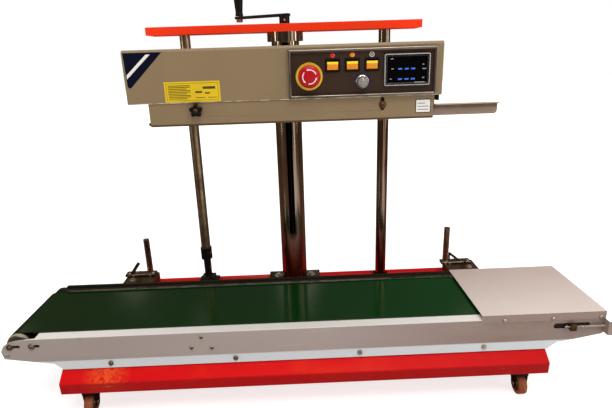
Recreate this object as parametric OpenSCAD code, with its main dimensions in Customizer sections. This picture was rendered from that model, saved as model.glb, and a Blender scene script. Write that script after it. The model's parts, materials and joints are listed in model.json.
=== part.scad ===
// Column-type continuous band sealer with belt conveyor.
// Units: millimetres. +Z up, +X to the outfeed (right) side, operator stands at -Y.
// Origin: centre of the footprint, on the floor.

/* [Conveyor] */
// Length of the conveyor side plates
conveyor_length = 1403; // [1300:1:1500]
// Height of the belt's carrying surface above the floor
belt_height = 204; // [190:1:230]
// Width of the conveyor belt
belt_width = 196; // [120:1:197]

/* [Columns] */
// Diameter of the slotted centre column
column_diameter = 76; // [60:1:90]
// Diameter of the right guide column
guide_diameter = 32; // [25:1:36]
// Diameter of the rotating drive shaft on the left
shaft_diameter = 28; // [20:1:30]
// Distance between neighbouring columns
column_pitch = 273; // [240:1:300]

/* [Head] */
// Length of the sealing head's upper case
head_length = 664; // [600:1:720]
// Height of the sealing head's upper case
head_height = 109; // [90:1:140]
// Gap between the two sealing belts
slot_gap = 5; // [4.5:0.5:8]

/* [Hidden] */
$fn = 48;
eps = 0.01;
gap = 0.3;
sheet = 2;
shift_x = 10.5;
shift_y = 3.1;
base_half = 569;
beam_bottom = 69;
beam_top = 120;
beam_fold = 98;
channel_top = 145;
channel_x = 508;
channel_w = 95;
channel_bolt_y = 205;
plate_y = -228;
plate_top = 201;
plate_x1 = 702;
flange_top = 141;
flange_foot_y = -234;
flange_foot_z = 120.8;
plate_x0 = plate_x1 - conveyor_length;
rear_plate_y = 0;
belt_y0 = -202;
belt_t = 2;
roller_r = 25;
roller_shaft_r = 8;
roller_z = belt_height - belt_t - roller_r - gap;
drive_x = plate_x0 + 32;
tail_x = 625;
col_y = 191;
col_x = -23;
guide_x = col_x + column_pitch;
shaft_x = col_x - column_pitch;
col_r = column_diameter / 2;
col_inner_r = col_r - 5;
guide_r = guide_diameter / 2;
shaft_r = shaft_diameter / 2;
fence_x0 = -646;
fence_x1 = 410;
fence_top0 = 215.5;
fence_top1 = 212.5;
bar_bottom = 862;
bar_top = 882;
bar_half = 365;
bar_depth = 90;
slot_w = 18;
slot_z0 = 285;
slot_z1 = 834;
nut_x = 52;
screw_r = 10;
arm_z = 902;
arm_angle = 155;
arm_len = 140;
head_x0 = col_x - head_length / 2;
head_x1 = col_x + head_length / 2;
head_y0 = -163;
head_ym = 60;
head_y1 = 236;
head_z0 = 712;
head_z1 = head_z0 + head_height;
skirt_z0 = 663;
skirt_x0 = -313;
skirt_x1 = 293;
chassis_z = 716;
chassis_t = 5;
slot_y = -103;
wheel_r = 23;
wheel_z = 671;
wheel_h = 19;
sb_t = 0.5;
front_y = slot_y - slot_gap / 2 - sb_t - gap - wheel_r;
back_y = slot_y + slot_gap / 2 + sb_t + gap + wheel_r;
wheel_in_x = -273;
wheel_out_x = 227;
star_x = -213;
bolt_x = 183;
bolt_z = 695;
panel_x0 = -15;
panel_x1 = 295;
panel_z0 = 714;
panel_z1 = 811;
face_y = -166;
stop_x = 28;
stop_z = 758;
stop_ring_r = 28;
stop_button_r = 20.5;
rocker_z = 779;
pivot_y = face_y + 4;
rocker_x = [77, 118, 159];
knob_x = 139;
knob_z = 744;
knob_r = 13.5;
ctl_x0 = 184.5;
ctl_x1 = 279.5;
ctl_z0 = 734;
ctl_z1 = 798;
caster_r = 25;
caster_w = 20;
caster_x = 515;
caster_y = 217;
trail = 15;
caster_turn = 90;
crown_z = beam_bottom - 15;
post_x = [-483, 463];
post_y = 207;
post_r = 9;
clamp_x = [-560, 449];
clamp_len = 94;
clamp_y0 = 196;
clamp_y1 = 222;
clamp_top = 153;
tray_x0 = 296.5;
tray_x1 = 436;
fold = 1.5;

// ---- helpers -------------------------------------------------------------

// outline in X,Z given a thickness from y0 towards +Y
module xz(y0, t) translate([0, y0 + t, 0]) rotate([90, 0, 0]) linear_extrude(t) children();

// outline in Y,Z extruded along X from x0
module yz(x0, t) translate([x0, 0, 0]) rotate([90, 0, 90]) linear_extrude(t) children();

// moves the working axes to the footprint's centre
module placed() translate([-shift_x, -shift_y, 0]) children();

module box(x0, x1, y0, y1, z0, z1) translate([x0, y0, z0]) cube([x1 - x0, y1 - y0, z1 - z0]);

module box2(x0, x1, z0, z1) translate([x0, z0]) square([x1 - x0, z1 - z0]);

module cyl(x, y, z, r, h) translate([x, y, z]) cylinder(r = r, h = h);

// cylinder along +Y starting at y
module ycyl(x, y, z, r, h) translate([x, y, z]) rotate([-90, 0, 0]) cylinder(r = r, h = h);

// cylinder along +X starting at x
module xcyl(x, y, z, r, h) translate([x, y, z]) rotate([0, 90, 0]) cylinder(r = r, h = h);

// ---- base frame ------------------------------------------------------------

function beam_outline() = [[-168, beam_top], [-228, beam_top], [-232, beam_top - 2],
  [-258, beam_fold], [-257, beam_bottom], [-174, beam_bottom], [-172, beam_fold]];

module beam_profile() {
  difference() {
    polygon(beam_outline());
    offset(delta = -3) polygon(beam_outline());
  }
}

module beam_end(x) {
  yz(x, 3) offset(delta = -2.5) polygon(beam_outline());
}

module base_front_beam() {
  placed() color("#c9201c") {
    difference() {
      yz(-base_half, 2 * base_half) beam_profile();
      for (s = [-1, 1]) {
        cyl(s * caster_x, -caster_y, beam_bottom - 1, 6.3, 6);
        cyl(s * channel_x, -channel_bolt_y, beam_top - 8, 5, 10);
      }
    }
    for (s = [-1, 1]) beam_end(s > 0 ? base_half - 6 : -base_half + 3);
  }
}

module base_rear_beam() {
  placed() color("#c9201c") {
    difference() {
      mirror([0, 1, 0]) yz(-base_half, 2 * base_half) beam_profile();
      for (s = [-1, 1]) {
        cyl(s * caster_x, caster_y, beam_bottom - 1, 6.3, 6);
        cyl(s * channel_x, channel_bolt_y, beam_top - 8, 5, 10);
      }
    }
    mirror([0, 1, 0]) for (s = [-1, 1]) beam_end(s > 0 ? base_half - 6 : -base_half + 3);
  }
}

module base_cross_channels() {
  wall = 3;
  half = channel_w / 2;
  placed() color("#3a3433") for (s = [-1, 1]) translate([s * channel_x, 0, 0]) difference() {
    box(-half, half, -222, 226, beam_top, channel_top);
    box(wall - half, half - wall, wall - 222, 226 - wall, beam_top - 1, channel_top - wall);
    for (y = [-channel_bolt_y, channel_bolt_y]) cyl(0, y, beam_top - 1, 5, 40);
  }
}

// ---- columns and top bar ---------------------------------------------------

module column_center() {
  placed() color("#b9b6b2") difference() {
    union() {
      cyl(col_x, col_y, beam_top, col_r, bar_bottom - beam_top);
      box(col_x - 80, col_x + 80, 158, 224, beam_top, beam_top + 12);
      cyl(col_x, col_y, 838, 49, bar_bottom - 838);
    }
    cyl(col_x, col_y, beam_top - 1, col_inner_r, 800);
    // lift slot, open to the front, with a rounded lower end
    box(col_x - slot_w / 2, col_x + slot_w / 2, col_y - 50, col_y, slot_z0 + slot_w / 2, slot_z1);
    ycyl(col_x, col_y - 50, slot_z0 + slot_w / 2, slot_w / 2, 50);
    for (s = [-1, 1]) cyl(col_x + s * nut_x, col_y, beam_top - 1, 5, 20);
  }
}

module column_right() {
  placed() color("#c4c0bb") union() {
    cyl(guide_x, col_y, beam_top, guide_r, bar_bottom - beam_top);
    cyl(guide_x, col_y, beam_top, 24, 8);
  }
}

module top_bar() {
  placed() color("#c9201c") difference() {
    translate([col_x - bar_half, col_y - bar_depth / 2, bar_bottom])
      cube([2 * bar_half, bar_depth, bar_top - bar_bottom]);
    cyl(col_x, col_y, bar_bottom - 1, screw_r + gap, 30);
    cyl(shaft_x, col_y, bar_bottom - 1, shaft_r + gap, 14);
  }
}

module hex_bolt(r, h) {
  cylinder(r = r, h = h, $fn = 6);
}

module frame_bolts() {
  placed() color("#8b8780") {
    // centre column flange
    for (s = [-1, 1]) translate([col_x + s * nut_x, col_y, beam_top + 12]) hex_bolt(8, 7);
    // conveyor plate to front beam
    for (x = [-454, -164, 127, 421]) translate([x, -231.05, 131]) rotate([73.5, 0, 0]) hex_bolt(5, 4);
    // cross channels
    for (s = [-1, 1]) translate([s * 530, 173, channel_top]) hex_bolt(6, 5);
    // top bar over the guide column
    translate([guide_x, col_y, bar_top]) hex_bolt(9, 2.4);
  }
}

// ---- crank and lead screw ----------------------------------------------------

module lead_screw() {
  placed() color("#a8a49e") union() {
    cyl(col_x, col_y, 150, screw_r, 734);
    cyl(col_x, col_y, bar_top + gap, 17, 1.7);
  }
}

module crank_arm() {
  placed() color("#2b2a29") translate([col_x, col_y, 0]) rotate([0, 0, arm_angle]) difference() {
    union() {
      translate([0, 0, 884]) cylinder(r = 14, h = arm_z + 4 - 884);
      translate([-14, -9, arm_z]) cube([arm_len + 24, 18, 7]);
    }
    translate([arm_len, 0, arm_z - 1]) cylinder(r = 5.3, h = 10);
  }
}

module crank_grip() {
  tip = [col_x + arm_len * cos(arm_angle), col_y + arm_len * sin(arm_angle), 0];
  placed() color("#1b1b1c") translate(tip) {
    translate([0, 0, arm_z - 3]) cylinder(r = 5, h = 16);
    translate([0, 0, arm_z - 8]) cylinder(r = 9, h = 7.5);
    translate([0, 0, arm_z + 8]) cylinder(r1 = 11, r2 = 14, h = 78);
    translate([0, 0, arm_z + 86]) cylinder(r1 = 14, r2 = 10, h = 5);
  }
}

// ---- conveyor drive -----------------------------------------------------------

module drive_shaft() {
  placed() color("#9c968c") union() {
    cyl(shaft_x, col_y, 240, shaft_r, 634);
    cyl(shaft_x, col_y, 133, 8, 112);
  }
}

module drive_coupling() {
  placed() color("#17171a") difference() {
    union() {
      cyl(shaft_x, col_y, 203, 17, 37);
      cyl(shaft_x, col_y, 146, 11, 57);
    }
    cyl(shaft_x, col_y, 140, 8 + eps, 110);
  }
}

module conveyor_gearbox() {
  placed() color("#202022") {
    difference() {
      union() {
        box(shaft_x - 30, shaft_x + 30, 161, 221, beam_top, beam_top + 8);
        box(shaft_x - 20, shaft_x + 20, 171, 211, beam_top + 8, 142);
      }
      cyl(shaft_x, col_y, 130, 9, 30);
    }
    // chain case from the gearbox to the drive roller behind the rear side plate
    box(shaft_x - 14, shaft_x + 14, 8, 172, 124, 141);
    box(shaft_x - 14, shaft_x + 14, 8, 28, 141 - eps, 160);
    difference() {
      xz(4, 26) hull() {
        translate([shaft_x, 167]) circle(r = 24);
        translate([drive_x, roller_z]) circle(r = 24);
      }
      ycyl(drive_x, 3, roller_z, roller_shaft_r + gap, 28);
    }
  }
}

// ---- conveyor -----------------------------------------------------------------

// side plate outline, foot_z is the lower edge between the two kinks at foot_x0 and foot_x1
function plate_outline(foot_x0, foot_x1, foot_z) = [[plate_x0 + 79, plate_top], [plate_x0 + 37, 198],
  [plate_x0 + 19, 193], [plate_x0 + 7, 184], [plate_x0, 170], [plate_x0 + 4, 151],
  [foot_x0, foot_z], [foot_x1, foot_z], [plate_x1, 152], [plate_x1, plate_top]];

// bolt slots for the roller bearing and the take-up slot, through a side plate
module slots(y0) {
  for (x = [[-682, -659], [-633, -614]]) xz(y0 - 1, 8) hull() {
    for (end_x = x) translate([end_x, 182]) circle(r = 3.5, $fn = 24);
  }
  // take-up slot
  xz(y0 - 1, 8) hull() {
    for (x = [tail_x - 35, tail_x + 38]) translate([x, roller_z]) circle(r = 7, $fn = 24);
  }
}

module conveyor_front_plate() {
  placed() color("#a8a3a0") union() {
    difference() {
      xz(plate_y, sheet) polygon(plate_outline(-593, 605, 134));
      slots(plate_y);
    }
    // top flange beside the belt
    box(-620, plate_x1, plate_y, belt_y0 - 1, plate_top - sheet, plate_top);
    // foot flange, spread outwards over the front beam, with slanted ends
    difference() {
      yz(-593, 1198) polygon([[plate_y, flange_top], [plate_y + sheet, flange_top],
        [flange_foot_y + sheet, flange_foot_z], [flange_foot_y, flange_foot_z]]);
      xz(flange_foot_y - 1, 12) polygon([[-594, flange_top], [-594, 115], [-556, 115]]);
      xz(flange_foot_y - 1, 12) polygon([[606, flange_top], [606, 115], [560, 115]]);
    }
  }
}

module conveyor_rear_plate() {
  placed() color("#a8a3a0") difference() {
    xz(rear_plate_y, sheet) polygon(plate_outline(-640, 640, channel_top));
    slots(rear_plate_y);
    ycyl(drive_x, rear_plate_y - 1, roller_z, roller_shaft_r + 1.4, 4);
  }
}

module slider_bed() {
  placed() color("#8f8c88") union() {
    box(-634, 580, belt_y0 + 1, belt_y0 + belt_width - 1, 199, belt_height - belt_t - gap);
    for (x = [-610, -300, 0, 300, 570]) box(x, x + 6, -225.9, -0.1, 165, 199);
  }
}

module conveyor_belt() {
  placed() color("#12351f") xz(belt_y0, belt_width) difference() {
    hull() {
      translate([drive_x, roller_z]) circle(r = roller_r + gap + belt_t, $fn = 64);
      translate([tail_x, roller_z]) circle(r = roller_r + gap + belt_t, $fn = 64);
    }
    hull() {
      translate([drive_x, roller_z]) circle(r = roller_r + gap, $fn = 64);
      translate([tail_x, roller_z]) circle(r = roller_r + gap, $fn = 64);
    }
  }
}

module drive_roller() {
  placed() color("#8a857d") union() {
    ycyl(drive_x, -214, roller_z, roller_r, 210);
    ycyl(drive_x, -225, roller_z, roller_shaft_r, 248);
  }
}

// block bolted inside the front plate, carries the drive roller's free end
module roller_bearing() {
  placed() color("#3b3a38") difference() {
    box(drive_x - 16, drive_x + 50, plate_y + sheet + eps, -215.5, roller_z - 13, roller_z + 13);
    ycyl(drive_x, plate_y, roller_z, roller_shaft_r + gap, 20);
  }
}

module tension_roller() {
  placed() color("#8a857d") difference() {
    ycyl(tail_x, belt_y0 - 0.5, roller_z, roller_r, belt_width + 4);
    ycyl(tail_x, belt_y0 - 5, roller_z, 6 + gap, belt_width + 20);
  }
}

module take_up_blocks() {
  placed() color("#6a5a48") difference() {
    union() {
      ycyl(tail_x, -229, roller_z, 6, 232.5);
      for (y = [-240, 2.8]) box(tail_x - 7, tail_x + 7, y, y + 11.2, roller_z - 8, roller_z + 8);
    }
    for (y = [-234, 8.4]) xcyl(tail_x - 20, y, roller_z, 3 + gap, 60);
  }
}

module tension_screw(y) {
  xcyl(606, y, roller_z, 3, 112);
  xcyl(718, y, roller_z, 5.5, 4);
  xcyl(706.5, y, roller_z, 5.5, 3);
}

module tension_screw_front() {
  placed() color("#a29c94") tension_screw(-234);
}

module tension_screw_rear() {
  placed() color("#a29c94") tension_screw(8.4);
}

module tension_brackets() {
  placed() color("#b5b0ab") {
    difference() {
      union() {
        box(702.2, 704.2, -228, -200, 154, 199);
        box(702.2, 704.2, -246, -228, 158, 192.5);
        box(704.2, 716, -246, -244, 158, 192.5);
      }
      xcyl(700, -234, roller_z, 3.5, 20);
    }
    difference() {
      box(702.2, 704.2, -24, 16.2, 154, 199);
      xcyl(700, 8.4, roller_z, 3.5, 20);
    }
  }
}

module end_cover() {
  placed() color("#cfcac6") union() {
    box(412, 704, plate_y - 1.6, 18, 211, 212.5);
    box(412, 704, plate_y - 1.6, plate_y - 0.1, 193, 211);
    box(412, 704, 16.5, 18, 196, 211);
    // lugs down to the side plates
    for (x = [465, 579, 692]) {
      box(x - 6, x + 6, plate_y - 0.1, plate_y + 2, plate_top, 211);
      ycyl(x, plate_y - 3.6, 198, 3.5, 2);
    }
  }
}

// the fence's top edge falls towards the outfeed; foot_z is its straight lower edge, 0 for a thin lip
module fence_outline(foot_z) {
  lip = 2;
  foot0 = foot_z > 0 ? foot_z : fence_top0 - lip;
  foot1 = foot_z > 0 ? foot_z : fence_top1 - lip;
  polygon([[fence_x0, foot0], [fence_x1, foot1], [fence_x1, fence_top1], [fence_x0, fence_top0]]);
}

module bag_fence() {
  placed() color("#2c2a29") union() {
    xz(2, 1.5) fence_outline(190);
    xz(3.5, 8.5) fence_outline(0);
    box(fence_x0, fence_x1, -5, 2, 208, 209.5);
  }
}

// ---- rear posts -----------------------------------------------------------------

module rear_posts() {
  placed() color("#bdb8b1") for (x = post_x) cyl(x, post_y, channel_top, post_r, 122);
}

module post_braces() {
  wall = 3;
  lean = 36;
  placed() color("#4a3b30") {
    // folded clamps over the cross channels, with the posts through their tops
    for (k = [0, 1]) difference() {
      box(clamp_x[k], clamp_x[k] + clamp_len, clamp_y0, clamp_y1, channel_top, clamp_top);
      box(clamp_x[k] + wall, clamp_x[k] + clamp_len - wall, clamp_y0 + wall, clamp_y1 - wall,
        channel_top - 1, clamp_top - wall);
      cyl(post_x[k], post_y, channel_top - 1, post_r + gap, 20);
    }
    // open gusset beside the right post
    xz(203, 5) difference() {
      polygon([[473, clamp_top - 1], [473, 182], [478, 182], [514, clamp_top - 1]]);
      polygon([[477, clamp_top + 3], [477, 173], [498, clamp_top + 3]]);
    }
    // leaning lever on the left clamp
    translate([-541, 199, clamp_top]) rotate([0, lean, 0]) box(-5, 5, 0, 4, -1, 46);
  }
}

// ---- casters ------------------------------------------------------------------------

// places a caster's parts on its swivel axis, turned about it
module swivel(x, y, turn) translate([x, y, 0]) rotate(turn) children();

// fork with its stem on the origin and its wheel trailing along +X
module fork() {
  translate([0, 0, crown_z + 7]) cylinder(r = 18, h = 7.6);
  translate([0, 0, crown_z + 10]) cylinder(r = 6, h = 12);
  difference() {
    union() {
      translate([-12, -14.5, crown_z]) cube([trail + 24, 29, 7]);
      for (y = [-14.5, 11.5]) hull() {
        translate([trail, y, caster_r]) rotate([-90, 0, 0]) cylinder(r = 8, h = 3);
        translate([-10, y, crown_z - 2]) cube([trail + 20, 3, 3]);
      }
    }
    translate([trail, -20, caster_r]) rotate([-90, 0, 0]) cylinder(r = 4.3, h = 40);
  }
}

// wheel with its axle, in its place in the fork
module wheel() {
  translate([trail, 0, caster_r]) rotate([-90, 0, 0]) {
    translate([0, 0, -caster_w / 2]) cylinder(r = caster_r, h = caster_w);
    translate([0, 0, -17]) cylinder(r = 4, h = 34);
  }
}

module caster_fork_left() {
  placed() color("#242221") swivel(-caster_x, -caster_y, 180 + caster_turn) fork();
}

module caster_fork_right() {
  placed() color("#242221") swivel(caster_x, -caster_y, -caster_turn) fork();
}

module rear_caster_forks() {
  placed() color("#242221") {
    swivel(-caster_x, caster_y, 180) fork();
    swivel(caster_x, caster_y, 0) fork();
  }
}

module caster_wheel_front_left() {
  placed() color("#8a4a25") swivel(-caster_x, -caster_y, 180 + caster_turn) wheel();
}

module caster_wheel_front_right() {
  placed() color("#8a4a25") swivel(caster_x, -caster_y, -caster_turn) wheel();
}

module caster_wheel_rear_left() {
  placed() color("#8a4a25") swivel(-caster_x, caster_y, 180) wheel();
}

module caster_wheel_rear_right() {
  placed() color("#8a4a25") swivel(caster_x, caster_y, 0) wheel();
}

// ---- sealing head -----------------------------------------------------------------

module head_case() {
  bevel = 5;
  placed() color("#8c7b66") difference() {
    yz(head_x0, head_length) polygon([[head_y0, head_z0], [head_y0, head_z1 - bevel],
      [head_y0 + bevel, head_z1], [head_ym, head_z1], [head_ym, head_z0]]);
    yz(head_x0 + sheet, head_length - 2 * sheet) polygon([[head_y0 + sheet, head_z0 - 1],
      [head_y0 + sheet, head_z1 - bevel - 1], [head_y0 + bevel + 1, head_z1 - sheet],
      [head_ym + 1, head_z1 - sheet], [head_ym + 1, head_z0 - 1]]);
    // window behind the control panel
    box(panel_x0 + 9, panel_x1 - 9, head_y0 - 2, head_y0 + 4, panel_z0 + 9, panel_z1 - 9);
  }
}

module head_rear_cover() {
  placed() color("#8c7b66") difference() {
    box(head_x0, head_x1, head_ym, head_y1, chassis_z, head_z1);
    box(head_x0 + sheet, head_x1 - sheet, head_ym - 1, head_y1 - sheet, chassis_z - 1, head_z1 - sheet);
    cyl(col_x, col_y, head_z1 - 5, 52, 10);
    cyl(guide_x, col_y, head_z1 - 5, guide_r + 3, 10);
    cyl(shaft_x, col_y, head_z1 - 5, shaft_r + 3, 10);
  }
}

module head_chassis() {
  placed() color("#a7a29c") union() {
    difference() {
      box(head_x0 + 4, head_x1 - 4, -150, head_y1 - 3, chassis_z, chassis_z + chassis_t);
      cyl(col_x, col_y, chassis_z - 1, col_r + 1.5, 8);
      cyl(guide_x, col_y, chassis_z - 1, guide_r + 1, 8);
      cyl(shaft_x, col_y, chassis_z - 1, shaft_r + 1, 8);
      for (x = [wheel_in_x, wheel_out_x]) for (y = [front_y, back_y]) cyl(x, y, chassis_z - 1, 5.4, 8);
    }
    // tabs that carry the skirt
    for (x = [star_x, bolt_x]) difference() {
      union() {
        box(x - 12, x + 12, -158.6, -155.6, 682, chassis_z + chassis_t);
        box(x - 12, x + 12, -158.6, -149, chassis_z, chassis_z + chassis_t);
      }
      if (x == star_x) ycyl(x, -160, bolt_z, 3.3, 6);
    }
    // side webs that hold the covers
    for (s = [head_x0 + 2.2, head_x1 - 6.2]) box(s, s + 4, -140, 210, chassis_z, chassis_z + 30);
  }
}

module front_skirt() {
  placed() color("#8c7b66") difference() {
    union() {
      box(skirt_x0, skirt_x1, -160.6, -159.1, skirt_z0 + 3, 728);
      box(skirt_x0, skirt_x1, -157.6, -154, skirt_z0, skirt_z0 + 1.5);
      yz(skirt_x0, skirt_x1 - skirt_x0) polygon([[-160.6, skirt_z0 + 3], [-159.1, skirt_z0 + 3],
        [-157.6, skirt_z0 + 1.5], [-157.6, skirt_z0]]);
    }
    xz(-162, 4) hull() {
      translate([star_x, 687]) circle(r = 4, $fn = 24);
      translate([star_x, 707]) circle(r = 4, $fn = 24);
    }
    xz(-162, 4) hull() {
      translate([bolt_x, 687]) circle(r = 4, $fn = 24);
      translate([bolt_x, 707]) circle(r = 4, $fn = 24);
    }
  }
}

module skirt_bolt() {
  placed() color("#5b3a22") union() {
    ycyl(bolt_x, -160.9 - 1.2, bolt_z, 8, 1.2);
    translate([bolt_x, -162.1, bolt_z]) rotate([90, 0, 0]) cylinder(r = 5, h = 4);
    ycyl(bolt_x, -161, bolt_z, 3, 2.4);
  }
}

module star_knob() {
  placed() color("#161617") translate([star_x, -161, bolt_z]) rotate([90, 0, 0]) {
    difference() {
      linear_extrude(12) union() {
        rotate(36) circle(r = 9.5);
        for (a = [18:72:359]) rotate(a) translate([9, 0]) circle(r = 5.5);
      }
      translate([0, 0, 10.5]) cylinder(r = 4.5, h = 2);
    }
    translate([0, 0, -6]) cylinder(r = 3, h = 6);
  }
}

// ---- operator controls ------------------------------------------------------------

module control_panel() {
  rim = 7;
  placed() color("#3a2e28") difference() {
    union() {
      box(panel_x0, panel_x1, face_y + 1, head_y0, panel_z0, panel_z1);
      difference() {
        box(panel_x0, panel_x1, face_y - 2, face_y + 1, panel_z0, panel_z1);
        box(panel_x0 + rim, panel_x1 - rim, face_y - 3, face_y + 1, panel_z0 + rim, panel_z1 - rim);
      }
    }
    ycyl(stop_x, face_y, stop_z, 11.3, 6);
    for (x = rocker_x) box(x - 13.2, x + 13.2, face_y, head_y0 + 1, rocker_z - 10.9, rocker_z + 10.9);
    ycyl(knob_x, face_y, knob_z, 3.5, 6);
    box(ctl_x0 + 3, ctl_x1 - 3, face_y, head_y0 + 1, ctl_z0 + 3, ctl_z1 - 3);
  }
}

module e_stop_ring() {
  placed() color("#f2c500") difference() {
    union() {
      ycyl(stop_x, face_y - 0.6, stop_z, stop_ring_r, 1.6);
      ycyl(stop_x, face_y - 0.6, stop_z, 11, 46);
    }
    ycyl(stop_x, face_y - 2, stop_z, 8, 44);
  }
}

module e_stop_button() {
  placed() color("#c8151b") translate([stop_x, face_y - 8, stop_z]) rotate([90, 0, 0]) {
    cylinder(r1 = stop_button_r - 2.5, r2 = stop_button_r, h = 5);
    translate([0, 0, 5]) cylinder(r1 = stop_button_r, r2 = stop_button_r - 3.5, h = 6);
    translate([0, 0, 11]) cylinder(r1 = stop_button_r - 3.5, r2 = stop_button_r - 11, h = 3);
    translate([0, 0, -38]) cylinder(r = 7.6, h = 38.5);
  }
}

module switch_bezels() {
  placed() color("#18181a") for (x = rocker_x) difference() {
    union() {
      box(x - 15.5, x + 15.5, face_y - 1, face_y + 1, rocker_z - 13.5, rocker_z + 13.5);
      box(x - 13, x + 13, face_y + 1, face_y + 24, rocker_z - 10.7, rocker_z + 10.7);
    }
    box(x - 11.5, x + 11.5, face_y - 2, face_y + 16, rocker_z - 9.9, rocker_z + 9.9);
    xcyl(x - 14, pivot_y, rocker_z, 1.8, 28);
  }
}

// V-shaped rocker, lower half pressed in at rest
module rocker(x) {
  yz(x - 11.2, 22.4) translate([pivot_y, rocker_z]) rotate(8)
    polygon([[-8, 8], [-6, 0], [-8, -8], [2, -6], [2, 6]]);
  xcyl(x - 12.6, pivot_y, rocker_z, 1.5, 25.2);
}

module rocker_left() {
  placed() color("#e39012") rocker(rocker_x[0]);
}

module rocker_middle() {
  placed() color("#e39012") rocker(rocker_x[1]);
}

module rocker_right() {
  placed() color("#e39012") rocker(rocker_x[2]);
}

module speed_knob() {
  placed() color("#6f6c6a") difference() {
    union() {
      translate([knob_x, face_y - 1, knob_z]) rotate([90, 0, 0]) cylinder(r1 = knob_r, r2 = knob_r - 2, h = 14);
      ycyl(knob_x, face_y - 2, knob_z, 3, 14);
    }
    box(knob_x - 0.7, knob_x + 0.7, face_y - 16, face_y - 14, knob_z, knob_z + 9);
  }
}

module temperature_controller() {
  placed() color("#141518") difference() {
    union() {
      box(ctl_x0, ctl_x1, face_y - 4, face_y + 1, ctl_z0, ctl_z1);
      box(ctl_x0 + 3.2, ctl_x1 - 3.2, face_y + 1, face_y + 58, ctl_z0 + 3.2, ctl_z1 - 3.2);
    }
    box(ctl_x0 + 5, ctl_x1 - 5, face_y - 5, face_y - 3, ctl_z0 + 5, ctl_z1 - 5);
  }
}

module exit_tray() {
  placed() color("#9a8f82") union() {
    xz(-150, fold) hull() {
      box2(tray_x0, tray_x1, 680, 692);
      box2(tray_x0, tray_x0 + 8, 667, 680);
      translate([tray_x1 - 7, 674]) circle(r = 7, $fn = 24);
    }
    box(tray_x0, tray_x1, -163, -149, 690.5, 692);
    box(tray_x0, tray_x1 - 8, -149, -112, 667, 667 + fold);
    // hanger under the chassis
    box(tray_x0, tray_x0 + fold, -149, -112, 667, chassis_z);
  }
}

// ---- sealing mechanism --------------------------------------------------------------

module gearmotor() {
  placed() color("#4c5157") difference() {
    union() {
      box(shaft_x - 38, shaft_x + 38, 155, 222, chassis_z + chassis_t, 790);
      xcyl(shaft_x + 38, 186, 757, 27, 130);
      xcyl(shaft_x + 168, 186, 757, 24, 6);
    }
    cyl(shaft_x, col_y, chassis_z, shaft_r + gap, 90);
  }
}

module sealing_blocks() {
  placed() color("#b08a4a") {
    for (x = [[-210, -60], [10, 110]]) for (s = [-1, 1]) {
      y0 = slot_y + s * (slot_gap / 2 + sb_t + gap + 8);
      box(x[0], x[1], y0 - 7.7, y0 + 7.7, wheel_z + 1, wheel_z + 17);
      for (p = [x[0] + 20, x[1] - 20]) cyl(p, y0, wheel_z + 17, 4, chassis_z - wheel_z - 17);
    }
  }
}

module loop(y) {
  translate([0, 0, wheel_z + 2]) linear_extrude(wheel_h - 4) difference() {
    hull() for (x = [wheel_in_x, wheel_out_x]) translate([x, y]) circle(r = wheel_r + gap + sb_t, $fn = 64);
    hull() for (x = [wheel_in_x, wheel_out_x]) translate([x, y]) circle(r = wheel_r + gap, $fn = 64);
  }
}

module sealing_belt_front() {
  placed() color("#7a5a3a") loop(front_y);
}

module sealing_belt_rear() {
  placed() color("#7a5a3a") loop(back_y);
}

module sealing_wheel(x, y) {
  cyl(x, y, wheel_z, wheel_r, wheel_h);
  cyl(x, y, wheel_z + wheel_h - 1, 5, 43);
  cyl(x, y, chassis_z + chassis_t + 1, 16, 8);
}

module sealing_wheel_front_in() {
  placed() color("#8d8a86") sealing_wheel(wheel_in_x, front_y);
}

module sealing_wheel_front_out() {
  placed() color("#8d8a86") sealing_wheel(wheel_out_x, front_y);
}

module sealing_wheel_rear_in() {
  placed() color("#8d8a86") sealing_wheel(wheel_in_x, back_y);
}

module sealing_wheel_rear_out() {
  placed() color("#8d8a86") sealing_wheel(wheel_out_x, back_y);
}

module lift_nut_and_bushes() {
  placed() color("#a9853f") {
    difference() {
      union() {
        cyl(col_x, col_y, 722, 26, 40);
        box(col_x - 8, col_x + 8, 130, col_y, 730, 752);
        box(col_x - 30, col_x + 30, 118, 142, chassis_z + chassis_t, 752);
      }
      cyl(col_x, col_y, 700, screw_r + gap, 80);
    }
    difference() {
      cyl(guide_x, col_y, chassis_z + chassis_t, 26, 55);
      cyl(guide_x, col_y, chassis_z, guide_r + gap, 80);
    }
  }
}

// ---- node selection ------------------------------------------------------------------

base_front_beam();
base_rear_beam();
base_cross_channels();
column_center();
column_right();
top_bar();
frame_bolts();
lead_screw();
crank_arm();
crank_grip();
drive_shaft();
drive_coupling();
conveyor_gearbox();
conveyor_front_plate();
conveyor_rear_plate();
slider_bed();
conveyor_belt();
drive_roller();
roller_bearing();
tension_roller();
take_up_blocks();
tension_screw_front();
tension_screw_rear();
tension_brackets();
end_cover();
bag_fence();
rear_posts();
post_braces();
caster_fork_left();
caster_fork_right();
rear_caster_forks();
caster_wheel_front_left();
caster_wheel_front_right();
caster_wheel_rear_left();
caster_wheel_rear_right();
head_case();
head_rear_cover();
head_chassis();
front_skirt();
skirt_bolt();
star_knob();
control_panel();
e_stop_ring();
e_stop_button();
switch_bezels();
rocker_left();
rocker_middle();
rocker_right();
speed_knob();
temperature_controller();
exit_tray();
gearmotor();
sealing_blocks();
sealing_belt_front();
sealing_belt_rear();
sealing_wheel_front_in();
sealing_wheel_front_out();
sealing_wheel_rear_in();
sealing_wheel_rear_out();
lift_nut_and_bushes();
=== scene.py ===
import json
from math import copysign, cos, pi, radians, sin

import bmesh
import bpy
from mathutils import Matrix, Vector


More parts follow.
